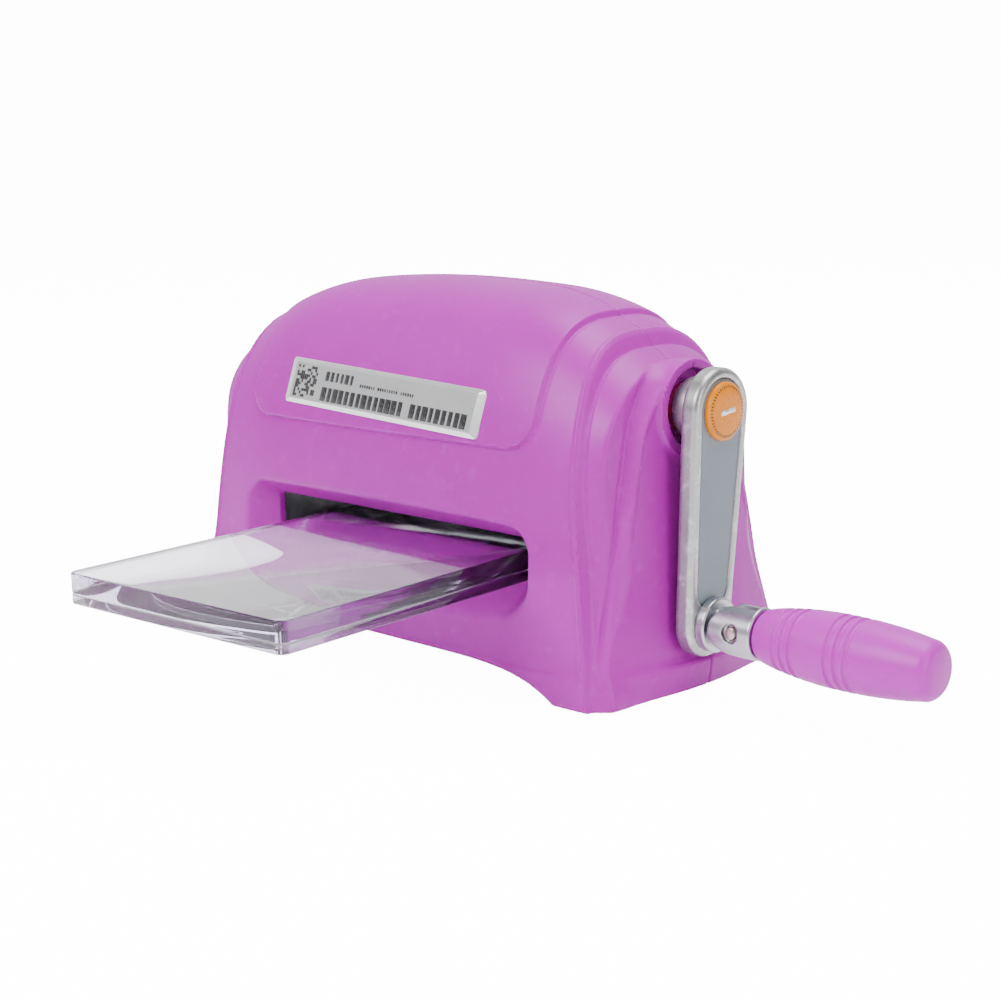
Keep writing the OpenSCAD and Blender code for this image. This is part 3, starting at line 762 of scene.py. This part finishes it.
def moulded_plastic(name, tint_a, tint_b, low, high, grain=0.0006, depth=0.000012, rub=None, dust=0.0):
    material, tree, shader = new_material(name)
    colour = use(tree, DRIFT, Tint_A=tint_a, Tint_B=tint_b, Patch_Size=0.035).outputs["Colour"]
    if rub:
        worn = use(tree, RUB, Sharpness=0.56, Patchiness=0.42)
        mix = node(tree, "ShaderNodeMix", {"data_type": "RGBA"}, _0=worn.outputs["Mask"])
        tree.links.new(colour, mix.inputs[6])
        mix.inputs[7].default_value = rub
        colour = mix.outputs[2]
    tree.links.new(colour, shader.inputs["Base Color"])
    grains = use(tree, GRAIN, Grain_Size=grain, Roughness_Low=low, Roughness_High=high)
    rough = grains.outputs["Roughness"]
    if dust:
        specks = use(tree, DUST, Speck_Size=0.0035, Amount=dust)
        rough = maths(tree, "ADD", rough, maths(tree, "MULTIPLY", specks.outputs["Mask"], 0.25))
    tree.links.new(rough, shader.inputs["Roughness"])
    bump(tree, shader, grains.outputs["Height"], depth)
    shader.inputs["Specular IOR Level"].default_value = 0.36
    return material


def metal(name, tint_a, tint_b, low, high, stretch=(60.0, 4000.0, 4000.0), depth=0.000006, metallic=1.0):
    material, tree, shader = new_material(name)
    colour = use(tree, DRIFT, Tint_A=tint_a, Tint_B=tint_b, Patch_Size=0.006).outputs["Colour"]
    tree.links.new(colour, shader.inputs["Base Color"])
    lines = use(tree, BRUSHED, Stretch=stretch, Roughness_Low=low, Roughness_High=high)
    tree.links.new(lines.outputs["Roughness"], shader.inputs["Roughness"])
    bump(tree, shader, lines.outputs["Height"], depth)
    shader.inputs["Metallic"].default_value = metallic
    return material


def build_silver_paint():
    """Silver lacquer with metal flakes."""
    material, tree, shader = new_material("silver_paint")
    place = node(tree, "ShaderNodeTexCoord").outputs["Object"]
    flakes = node(tree, "ShaderNodeTexVoronoi", None, Vector=place, Scale=5200.0)
    grey = spread(tree, flakes.outputs["Color"], 0.0, 1.0, 0.40, 0.54)
    tint = node(tree, "ShaderNodeCombineColor", None, Red=grey, Green=maths(tree, "MULTIPLY", grey, 1.005),
                Blue=maths(tree, "MULTIPLY", grey, 1.02))
    worn = use(tree, RUB, Sharpness=0.58, Patchiness=0.45)
    mix = node(tree, "ShaderNodeMix", {"data_type": "RGBA"}, _0=worn.outputs["Mask"])
    tree.links.new(tint.outputs[0], mix.inputs[6])
    mix.inputs[7].default_value = rgb(0.72, 0.73, 0.75)
    tree.links.new(mix.outputs[2], shader.inputs["Base Color"])
    grains = use(tree, GRAIN, Grain_Size=0.0004, Roughness_Low=0.30, Roughness_High=0.40)
    tree.links.new(grains.outputs["Roughness"], shader.inputs["Roughness"])
    bump(tree, shader, grains.outputs["Height"], 0.000010)
    shader.inputs["Metallic"].default_value = 0.85
    return material


def build_badge_resin():
    """Orange print under a clear dome."""
    material, tree, shader = new_material("badge_resin")
    colour = use(tree, DRIFT, Tint_A=rgb(0.95, 0.27, 0.0), Tint_B=rgb(1.0, 0.32, 0.0), Patch_Size=0.004)
    tree.links.new(colour.outputs["Colour"], shader.inputs["Base Color"])
    grains = use(tree, GRAIN, Grain_Size=0.002, Roughness_Low=0.22, Roughness_High=0.32)
    tree.links.new(grains.outputs["Roughness"], shader.inputs["Roughness"])
    bump(tree, shader, grains.outputs["Height"], 0.000006)
    shader.inputs["Coat Weight"].default_value = 0.15
    shader.inputs["Specular IOR Level"].default_value = 0.25
    shader.inputs["Coat Roughness"].default_value = 0.03
    return material


def build_clear_acrylic(name, tint_a, tint_b, alpha, ior):
    """Clear cast sheet with a tint and a few hairline scratches: a faint cool tint for the faces, and a
    violet tint for the edges, which is a painted reflection of the purple case.
    """
    material, tree, shader = new_material(name)
    colour = use(tree, DRIFT, Tint_A=tint_a, Tint_B=tint_b, Patch_Size=0.05)
    tree.links.new(colour.outputs["Colour"], shader.inputs["Base Color"])
    place = node(tree, "ShaderNodeTexCoord").outputs["Object"]
    cross = node(tree, "ShaderNodeMapping", None, Vector=place)
    cross.inputs["Rotation"].default_value = (0.0, 0.0, 0.7)
    cross.inputs["Scale"].default_value = (900.0, 14.0, 40.0)
    hair = node(tree, "ShaderNodeTexNoise", None, Vector=cross.outputs[0], Scale=1.0, Detail=2.0)
    fine = spread(tree, hair.outputs["Fac"], 0.70, 0.78, 0.012, 0.10)
    tree.links.new(fine, shader.inputs["Roughness"])
    shader.inputs["IOR"].default_value = ior
    shader.inputs["Alpha"].default_value = alpha
    shader.inputs["Transmission Weight"].default_value = 1.0
    return material


def build_label_silver():
    """Bright mirror-like label face."""
    material, tree, shader = new_material("label_silver")
    colour = use(tree, DRIFT, Tint_A=rgb(0.88, 0.89, 0.91), Tint_B=rgb(0.95, 0.95, 0.97), Patch_Size=0.012)
    tree.links.new(colour.outputs["Colour"], shader.inputs["Base Color"])
    lines = use(tree, BRUSHED, Stretch=(40.0, 2600.0, 2600.0), Roughness_Low=0.12, Roughness_High=0.22)
    tree.links.new(lines.outputs["Roughness"], shader.inputs["Roughness"])
    bump(tree, shader, lines.outputs["Height"], 0.000002)
    shader.inputs["Metallic"].default_value = 0.55
    shader.inputs["Coat Weight"].default_value = 1.0
    shader.inputs["Coat Roughness"].default_value = 0.04
    return material


def build_frosted():
    """Sandblasted mark in the clear sheet."""
    material, tree, shader = new_material("frosted_mark")
    grains = use(tree, GRAIN, Grain_Size=0.0003, Roughness_Low=0.55, Roughness_High=0.8)
    tree.links.new(grains.outputs["Roughness"], shader.inputs["Roughness"])
    colour = use(tree, DRIFT, Tint_A=rgb(0.90, 0.91, 0.94), Tint_B=rgb(0.97, 0.97, 0.98), Patch_Size=0.002)
    tree.links.new(colour.outputs["Colour"], shader.inputs["Base Color"])
    bump(tree, shader, grains.outputs["Height"], 0.00001)
    shader.inputs["Transmission Weight"].default_value = 0.55
    shader.inputs["IOR"].default_value = 1.49
    return material


CASE_PURPLE = moulded_plastic("case_purple", rgb(0.52, 0.004, 0.49), rgb(0.55, 0.006, 0.52), 0.36, 0.46,
                              rub=rgb(0.58, 0.02, 0.56), dust=0.03)
GRIP_PURPLE = moulded_plastic("grip_purple", rgb(0.64, 0.010, 0.62), rgb(0.67, 0.014, 0.65), 0.36, 0.46,
                              rub=rgb(0.58, 0.07, 0.58))
BASE_BLACK = moulded_plastic("base_black", rgb(0.030, 0.028, 0.032), rgb(0.045, 0.042, 0.047),
                             0.42, 0.58, 0.0009, 0.00003)
FOOT_RUBBER = moulded_plastic("foot_rubber", rgb(0.020, 0.020, 0.021), rgb(0.034, 0.034, 0.035),
                              0.68, 0.85, 0.0005, 0.00003, dust=0.08)
INLAY_GREY = moulded_plastic("inlay_grey", rgb(0.250, 0.300, 0.345), rgb(0.275, 0.325, 0.370),
                             0.34, 0.46, 0.0005, 0.000006)
PRINT_BLACK = moulded_plastic("print_black", rgb(0.018, 0.018, 0.020), rgb(0.03, 0.03, 0.033),
                              0.25, 0.35, 0.001, 0.000002)
SILVER_PAINT = build_silver_paint()
BADGE_RESIN = build_badge_resin()
CLEAR_ACRYLIC = build_clear_acrylic("clear_acrylic", rgb(0.93, 0.94, 0.985), rgb(0.95, 0.95, 0.98), 0.92, 1.6)
# Edge faces of the plates: the violet tint is a painted reflection of the purple case, not a colour of the
# clear sheet.
ACRYLIC_EDGE_PAINTED_REFLECTION = build_clear_acrylic("acrylic_edge", rgb(0.50, 0.46, 0.66), rgb(0.62, 0.58, 0.76), 0.92, 1.40)
LABEL_SILVER = build_label_silver()
FROSTED = build_frosted()
ZINC = metal("satin_zinc", rgb(0.52, 0.52, 0.56), rgb(0.57, 0.57, 0.61), 0.28, 0.36, (900.0, 900.0, 900.0),
             0.000001)
POLISHED = metal("polished_steel", rgb(0.62, 0.62, 0.63), rgb(0.70, 0.70, 0.71), 0.12, 0.22,
                 (3000.0, 200.0, 3000.0))
PIN_STEEL = metal("pin_steel", rgb(0.52, 0.44, 0.41), rgb(0.60, 0.51, 0.47),
                  0.24, 0.36, (900.0, 900.0, 900.0))
FRAME_STEEL = metal("frame_steel", rgb(0.50, 0.51, 0.53), rgb(0.58, 0.59, 0.61),
                    0.25, 0.42, (4000.0, 80.0, 4000.0))
ROLLER_STEEL = metal("roller_steel", rgb(0.60, 0.61, 0.62), rgb(0.68, 0.69, 0.70), 0.14, 0.26,
                     (5000.0, 40.0, 40.0))
GEAR_STEEL = metal("gear_steel", rgb(0.30, 0.29, 0.28), rgb(0.40, 0.39, 0.37),
                   0.32, 0.48, (3000.0, 500.0, 500.0))
SCREW_STEEL = metal("black_screw", rgb(0.10, 0.10, 0.11), rgb(0.16, 0.16, 0.17), 0.30, 0.45,
                    (1500.0, 1500.0, 1500.0))
BRASS = metal("bush_brass", rgb(0.74, 0.50, 0.20), rgb(0.82, 0.58, 0.26), 0.20, 0.34, (4000.0, 60.0, 60.0))

FLOOR_WHITE, floor_tree, floor_shader = new_material("studio_floor")
floor_shader.inputs["Base Color"].default_value = rgb(0.93, 0.93, 0.93)
floor_shader.inputs["Roughness"].default_value = 0.9
floor_shader.inputs["Emission Color"].default_value = rgb(1.0, 1.0, 1.0)
path = floor_tree.nodes.new("ShaderNodeLightPath")
seen = maths(floor_tree, "MULTIPLY", path.outputs["Is Camera Ray"], 14.0)
through = maths(floor_tree, "MULTIPLY", path.outputs["Is Transmission Ray"], 4.5)
mirrored_floor = maths(floor_tree, "MULTIPLY", path.outputs["Is Glossy Ray"], 0.9)
glow = maths(floor_tree, "MAXIMUM", seen, maths(floor_tree, "MAXIMUM", through, mirrored_floor))
floor_tree.links.new(glow, floor_shader.inputs["Emission Strength"])

# ---- Places ----

ON_CRANK = Matrix.Translation((0, 0, CRANK_Z)) @ Matrix.Rotation(-ARM_LEAN, 4, "X")
ON_HANDLE = ON_CRANK @ Matrix.Translation((0, 0, -ARM_LENGTH))
ON_LABEL = (Matrix.Translation(LABEL_AT) @ Matrix.Rotation(math.pi / 2 - LABEL_LEAN, 4, "X")
            @ Matrix.Rotation(-LABEL_TURN, 4, "Z"))


def finished(obj, body, slot, *nodes):
    """Fixes a piece to its body and hides the CAD nodes it stands for."""
    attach(obj, body)
    if nodes:
        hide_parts(*nodes)
    return obj


# ---- Case halves ----

case_xs = graded(-81.2, 81.2, 0.95, [(-81.2, -58, 0.5), (-53.5, -49, 0.5), (-38, -35.5, 0.5), (35.5, 38, 0.5),
                                     (49, 53.5, 0.5), (58, 81.2, 0.42)])
case_ys = graded(-38.4, 0.4, 0.7, [(-38.4, -27, 0.5), (-1.2, 0.4, 0.2)])
case_zs = graded(-0.4, 96.6, 0.85, [(-0.4, 10, 0.5), (15, 46, 0.55), (56, 77, 0.48), (77, 97, 0.6)])

front_shell = shaped("front_case", lambda x, y, z: case_half(x, y, z, True), case_xs, case_ys, case_zs,
                     CASE_PURPLE)
rear_shell = shaped("rear_case", lambda x, y, z: case_half(x, y, z, False), case_xs, case_ys, case_zs,
                    CASE_PURPLE, mirrored=True)
finished(front_shell, "case", "case_plastic", "front_shell")
finished(rear_shell, "case", "case_plastic", "rear_shell")


# ---- Label ----

def label_field(u, v, w):
    flat = rounded_box(u, v, LABEL_HALF[0], LABEL_HALF[1], 1.3)
    rim = np.minimum((LABEL_HALF[0] - np.abs(u)) / 2.3, (LABEL_HALF[1] - np.abs(v)) / 1.25)
    top = 0.62 - 0.6 * (1 - np.clip(rim, 0, 1))
    return np.maximum(np.maximum(flat, (w - top) * 0.94), -POCKET_DEPTH - w)


label = shaped("label", label_field, graded(-36.6, 36.6, 0.35), graded(-6.6, 6.6, 0.3),
               graded(-1.5, 1.2, 0.22),
               LABEL_SILVER, 60000, place=ON_LABEL)
finished(label, "case", "label_plastic", "label_plate")
label_print = printed(
    "label_print", ON_LABEL, PRINT_BLACK,
    marks(MARK_ROWS, (-28.6, 0, 0.625), PRINT_BLACK, Columns=11, Rows=11, Pitch=0.76, Mark_Width=0.76,
          Mark_Height=0.76, Thickness=0.05, Left_Out=0.48, Uneven=0.0, Seed=4),
    marks(MARK_ROWS, (-15.8, 2.3, 0.625), PRINT_BLACK, Columns=6, Pitch=1.9, Mark_Width=1.25, Mark_Height=2.5,
          Left_Out=0.0, Uneven=0.25, Seed=7),
    marks(MARK_ROWS, (2.4, 1.4, 0.625), PRINT_BLACK, Columns=24, Pitch=0.85, Mark_Width=0.5, Mark_Height=0.8,
          Left_Out=0.14, Uneven=0.3, Seed=3),
    marks(MARK_ROWS, (5.2, -2.4, 0.625), PRINT_BLACK, Columns=24, Pitch=2.25, Mark_Width=1.8, Mark_Height=3.6,
          Left_Out=0.12, Uneven=0.25, Seed=12))
finished(label_print, "case", "label_plastic")


# ---- Crank ----

def arm_field(x, y, z):
    outline = tapered_link(y, z, 10, 8, ARM_LENGTH)
    solid = rounded_slab(outline, x - 80.5, 2.5, 1.5)
    recess = tapered_link(y, z, 7.5, 5.7, ARM_LENGTH - 9)
    solid = smooth_max(solid, -np.maximum(recess, 82 - x), 0.9)
    r = np.hypot(y, z + ARM_LENGTH)
    return np.maximum(solid, -np.maximum(r - 3, 80 - x))


arm = shaped("crank_arm_casting", arm_field, graded(77.6, 83.5, 0.33), graded(-10.6, 10.6, 0.4),
             graded(-58.4, 10.7, 0.4), SILVER_PAINT, 120000, place=ON_CRANK)
finished(arm, "crank", "crank_paint", "crank_arm")


def inlay_field(x, y, z):
    outline = tapered_link(y, z, 7.4, 5.6, ARM_LENGTH - 9)
    return rounded_slab(outline, x - 82.3, 0.3, 0.12)


inlay = shaped("arm_inlay_plate", inlay_field, graded(81.6, 82.9, 0.15), graded(-8, 8, 0.4),
               graded(-47, 8, 0.4), INLAY_GREY, 60000, place=ON_CRANK)
finished(inlay, "crank", "inlay_plastic", "arm_inlay")

badge_profile = [(82.6, 0), (82.6, 6.6), (82.75, 6.85)]
for i in range(17):
    share = i / 16
    height = 83.35 + 1.0 * (1 - (1 - share) ** 2.2)
    badge_profile.append((height, 6.85 * math.cos(share * math.pi / 2) ** 0.75))
badge_profile[-1] = (84.35, 0)
badge = turned("badge_dome", badge_profile, BADGE_RESIN, 96, ON_CRANK)
finished(badge, "crank", "badge_resin", "crank_badge")
on_badge = ON_CRANK @ Matrix.Translation((84.03, 0, 0)) @ Matrix.Rotation(math.pi / 2, 4, "Y")
badge_ticks = printed(
    "badge_ticks", on_badge, PRINT_BLACK,
    marks(TICK_RING, (0, 0, 0), PRINT_BLACK, Count=46, Radius=5.75, Length=0.6, Width=0.24, Thickness=0.16,
          Lean=0.21))
finished(badge_ticks, "crank", "badge_resin")
badge_bar = printed("badge_bar", on_badge, LABEL_SILVER, strokes(1.1, 0.2, 0.335, ((0.5, -2.6), (-0.5, 2.6))))
finished(badge_bar, "crank", "badge_resin")

hub_profile = rounded_profile([(72.8, 0), (72.8, 6.6), (74.2, 7.5), (76.9, 7.5), (77.3, 7.1), (78.0, 7.1),
                               (78.0, 0)], 0.9)
hub = turned("hub_barrel", hub_profile, SILVER_PAINT, 96, ON_CRANK)
finished(hub, "crank", "crank_paint", "crank_hub")


# ---- Handle ----

def knuckle_field(x, y, z):
    r = np.hypot(y, z)
    collar = rounded_slab(r - 6.5, x - 84.25, 1.25, 0.5)
    stem = np.maximum(r - 2.9, np.abs(x - 81.8) - 1.8)
    bar = np.maximum(rounded_box(y, z, 2.0, 3.8, 0.3), np.abs(x - (83 + PIN_X) / 2) - (PIN_X - 83) / 2)
    pin_r = np.hypot(x - PIN_X, z)
    tip = np.maximum(pin_r - 3.8, np.abs(y) - 2.0)
    solid = smooth_min(collar, smooth_min(bar, tip, 0.1), 0.8)
    solid = np.minimum(solid, stem)
    return np.maximum(solid, -(pin_r - 1.85))


knuckle = shaped("knuckle_casting", knuckle_field, graded(79.6, 97, 0.3), graded(-7, 7, 0.3),
                 graded(-7, 7, 0.3),
                 ZINC, 80000, place=ON_HANDLE)
finished(knuckle, "crank", "knuckle_zinc", "knuckle")


def sleeve_field(x, y, z):
    r = np.hypot(y, z)
    pin_r = np.hypot(x - PIN_X, z)
    barrel = rounded_slab(r - 6.2, x - (86.1 + 98) / 2, (98 - 86.1) / 2, 0.5)
    ear = np.where(x < PIN_X, pin_r - 6.35, -9.0)
    barrel = smooth_max(barrel, ear, 0.6)
    neck = rounded_slab(r - 4.2, x - 98.5, 2.5, 0.4)
    solid = smooth_min(barrel, neck, 0.8)
    slot = np.maximum(np.maximum(np.abs(y) - 2.15, -4.1 - z), x - (PIN_X + 4.1))
    solid = smooth_max(solid, -slot, 0.5)
    solid = np.maximum(solid, -np.maximum(pin_r - 2.25, 4.9 - np.abs(y)))
    solid = np.maximum(solid, -(pin_r - 1.85))
    return np.maximum(solid, -np.maximum(r - 2.5, 97.9 - x))


sleeve = shaped("hinge_sleeve", sleeve_field, graded(85.6, 101.6, 0.27), graded(-6.9, 6.9, 0.27),
                graded(-6.9, 6.9, 0.27), ZINC, 120000, place=ON_HANDLE)
finished(sleeve, "handle", "knuckle_zinc", "handle_sleeve")

pin_profile = rounded_profile([(-6.0, 0), (-5.85, 1.25), (-5.5, 1.5), (-4.4, 1.5), (-4.4, 1.8), (4.4, 1.8),
                               (4.4, 1.5), (5.5, 1.5), (5.85, 1.25), (6.0, 0)], 0.2)
pin = turned("hinge_pin", pin_profile, PIN_STEEL, 48,
             ON_HANDLE @ Matrix.Translation((PIN_X, 0, 0)) @ Matrix.Rotation(math.pi / 2, 4, "Z"))
finished(pin, "handle", "knuckle_zinc", "knuckle_pin")


def grip_radius(x):
    knots_x = [98.3, 98.8, 100.2, 102, 105, 110, 115, 119, 123.5, 128, 132, 136, 139.2, 141.6, 142.7, 143]
    knots_r = [5.4, 6.1, 6.5, 6.9, 7.45, 8.05, 8.4, 8.5, 8.45, 8.25, 7.95, 7.5, 7.0, 6.6, 6.4, 6.3]
    return float(np.interp(x, knots_x, knots_r))


def grip_profile():
    """Radius along the grip, eased, with two sets of three round grooves."""
    raw = np.linspace(98.3, 142.9, 300)
    radius = np.array([grip_radius(x) for x in raw])
    for _ in range(60):
        radius[1:-1] = (radius[:-2] + 2 * radius[1:-1] + radius[2:]) / 4
    for start in (105.4, 119.8):
        for i in range(3):
            dip = np.clip(1 - ((raw - start - 2.35 * i) / 0.72) ** 2, 0, 1)
            radius = radius - 0.6 * np.sqrt(dip)
    cap = np.clip((143 - raw) / 3.6, 0, 1)
    tip = np.sqrt(1 - (1 - cap) ** 2)
    radius = np.where(raw > 139.4, np.minimum(radius, 4.2 + 2.8 * tip), radius)
    return [(float(x), float(r)) for x, r in zip(raw, radius)]


grip_points = [(101.3, 2.55), (101.3, 4.6), (98.3, 4.6)] + grip_profile() + [(143.0, 0)]
grip_points = [(139.0, 0), (139.0, 2.55)] + grip_points
grip = turned("grip_handle", grip_points, GRIP_PURPLE, 128, ON_HANDLE, 60)
finished(grip, "grip_handle", "grip_plastic", "grip")


# ---- Plates ----

def plate(name, node_name, thickness, low):
    """Clear plate with round corners and polished, slightly rounded edges."""
    yaw = math.radians(3.5)
    front = (-110 + 36) / math.cos(yaw)
    centre = (Matrix.Translation((13.1, -36, low)) @ Matrix.Rotation(yaw, 4, "Z")
              @ Matrix.Translation((0, front + 65, 0)))
    half_x, half_y, corner, round_off = 36.0, 65.0, 2.5, 0.35
    outline = []
    for cx, cy, first in ((1, 1, 0), (-1, 1, 90), (-1, -1, 180), (1, -1, 270)):
        for i in range(13):
            outline.append((cx, cy, math.radians(first + 90 * i / 12)))
    layers = []
    for i in range(5):
        a = math.pi / 2 * i / 4
        layers.append((round_off * (1 - math.sin(a)), round_off * (1 - math.cos(a))))
    layers = layers + [(d, thickness - h) for d, h in reversed(layers)]
    vertices, faces = [], []
    for inset, height in layers:
        for cx, cy, a in outline:
            r = corner - inset
            vertices.append((cx * (half_x - corner) + r * math.cos(a),
                             cy * (half_y - corner) + r * math.sin(a), height))
    count = len(outline)
    for layer in range(len(layers) - 1):
        for i in range(count):
            j = (i + 1) % count
            low_row, high_row = layer * count, (layer + 1) * count
            faces.append((low_row + i, low_row + j, high_row + j, high_row + i))
    faces.append(tuple(reversed(range(count))))
    top = (len(layers) - 1) * count
    faces.append(tuple(range(top, top + count)))
    vertices = [tuple(centre @ Vector(v)) for v in vertices]
    obj = mesh_object(name, vertices, faces, CLEAR_ACRYLIC)
    set_sharp(obj, 50)
    # The edge faces get the violet tint, a painted reflection of the purple case.
    obj.data.materials.append(ACRYLIC_EDGE_PAINTED_REFLECTION)
    for face in obj.data.polygons:
        face.material_index = 1 if abs(face.normal.z) < 0.9 else 0
    finished(obj, "plates", "clear_acrylic", node_name)
    return centre


plate_low = 27.2
plate("thin_plate", "bottom_plate", 2.42, plate_low + 0.0)
plate_place = plate("thick_plate", "top_plate", 4.86, plate_low + 2.5)
type_mark = printed(
    "type_mark", plate_place, FROSTED,
    strokes(1.3, 4.8, 4.9, ((24.6, -61.7), (29.5, -51.2)), ((34.4, -61.7), (29.5, -51.2))),
    strokes(1.1, 4.8, 4.88, ((26.4, -58.6), (32.6, -58.6))))
finished(type_mark, "plates", "clear_acrylic")


# ---- CAD nodes that stay ----

KEPT = {
    "base_plate": BASE_BLACK, "case_screws": SCREW_STEEL, "crank_shaft": POLISHED, "pinion": GEAR_STEEL,
    "crank_screw": SCREW_STEEL, "handle_spindle": POLISHED, "upper_roller": ROLLER_STEEL,
    "lower_roller": ROLLER_STEEL, "upper_roller_gear": GEAR_STEEL, "lower_roller_gear": GEAR_STEEL,
    "drive_gear": GEAR_STEEL,
}
for name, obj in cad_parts.items():
    finish = KEPT.get(name)
    if name.startswith("foot_"):
        finish = FOOT_RUBBER
    elif name.startswith("bush_"):
        finish = BRASS
    elif name.startswith("side_frame") or name.startswith("tie_rod"):
        finish = FRAME_STEEL
    elif name.startswith("frame_screws") or name.endswith("_ring"):
        finish = SCREW_STEEL
    if finish is None:
        finish = SILVER_PAINT
    for material_slot in obj.material_slots:
        material_slot.material = finish


# ---- Studio ----

def build_studio():
    """Pale floor that curves up into a backdrop, soft lights, and the camera."""
    rows = []
    for i in range(25):
        a = math.pi / 2 * i / 24
        rows.append((2.6 + 1.2 * math.sin(a), 1.2 - 1.2 * math.cos(a)))
    rows = [(-6.0, 0.0)] + rows + [(3.8, 6.0)]
    turn = Matrix.Rotation(math.radians(44.3), 3, "Z")
    vertices, faces = [], []
    for along, height in rows:
        for across in (-9.0, 9.0):
            vertices.append(tuple(turn @ Vector((across, along, height)) / MM))
    for i in range(len(rows) - 1):
        faces.append((2 * i, 2 * i + 1, 2 * i + 3, 2 * i + 2))
    floor = mesh_object("studio_floor", vertices, faces, FLOOR_WHITE)

    world = bpy.data.worlds.new("studio_air")
    bpy.context.scene.world = world
    world.use_nodes = True
    air = world.node_tree
    air.nodes["Background"].inputs[0].default_value = (1.0, 1.0, 1.0, 1.0)
    seen_air = air.nodes.new("ShaderNodeLightPath").outputs["Is Camera Ray"]
    air.links.new(spread(air, seen_air, 0.0, 1.0, 0.24, 14.0), air.nodes["Background"].inputs[1])

    def soft_light(name, place, target, size, power):
        data = bpy.data.lights.new(name, "AREA")
        data.shape = "RECTANGLE"
        data.size, data.size_y = size
        data.energy = power
        obj = bpy.data.objects.new(name, data)
        bpy.context.scene.collection.objects.link(obj)
        obj.location = place
        obj.rotation_euler = (Vector(target) - Vector(place)).to_track_quat("-Z", "Y").to_euler()

    soft_light("key", (-0.25, -1.1, 0.9), (0, 0, 0.05), (0.8, 0.6), 16)
    soft_light("top", (0.1, 0.25, 1.3), (0, 0, 0.05), (1.1, 0.8), 20)
    soft_light("side", (1.25, -0.25, 0.45), (0.05, 0, 0.05), (0.4, 0.7), 5)

    camera_data = bpy.data.cameras.new("camera")
    camera_data.lens = 62.91
    camera_data.sensor_width = 36
    camera = bpy.data.objects.new("camera", camera_data)
    bpy.context.scene.collection.objects.link(camera)
    azimuth, elevation, roll = math.radians(44.345), math.radians(11.504), math.radians(-1.2)
    back = Vector((math.sin(azimuth) * math.cos(elevation), -math.cos(azimuth) * math.cos(elevation),
                   math.sin(elevation)))
    right = Vector((math.cos(azimuth), math.sin(azimuth), 0))
    up = back.cross(right)
    across = right * math.cos(roll) + up * math.sin(roll)
    upward = up * math.cos(roll) - right * math.sin(roll)
    place = (right * 7.724 - up * 9.522 + Vector((0, 0, 45)) + back * 462.36) * MM
    camera.matrix_world = Matrix((
        (across.x, upward.x, back.x, place.x), (across.y, upward.y, back.y, place.y),
        (across.z, upward.z, back.z, place.z), (0, 0, 0, 1)))
    bpy.context.scene.camera = camera


build_studio()
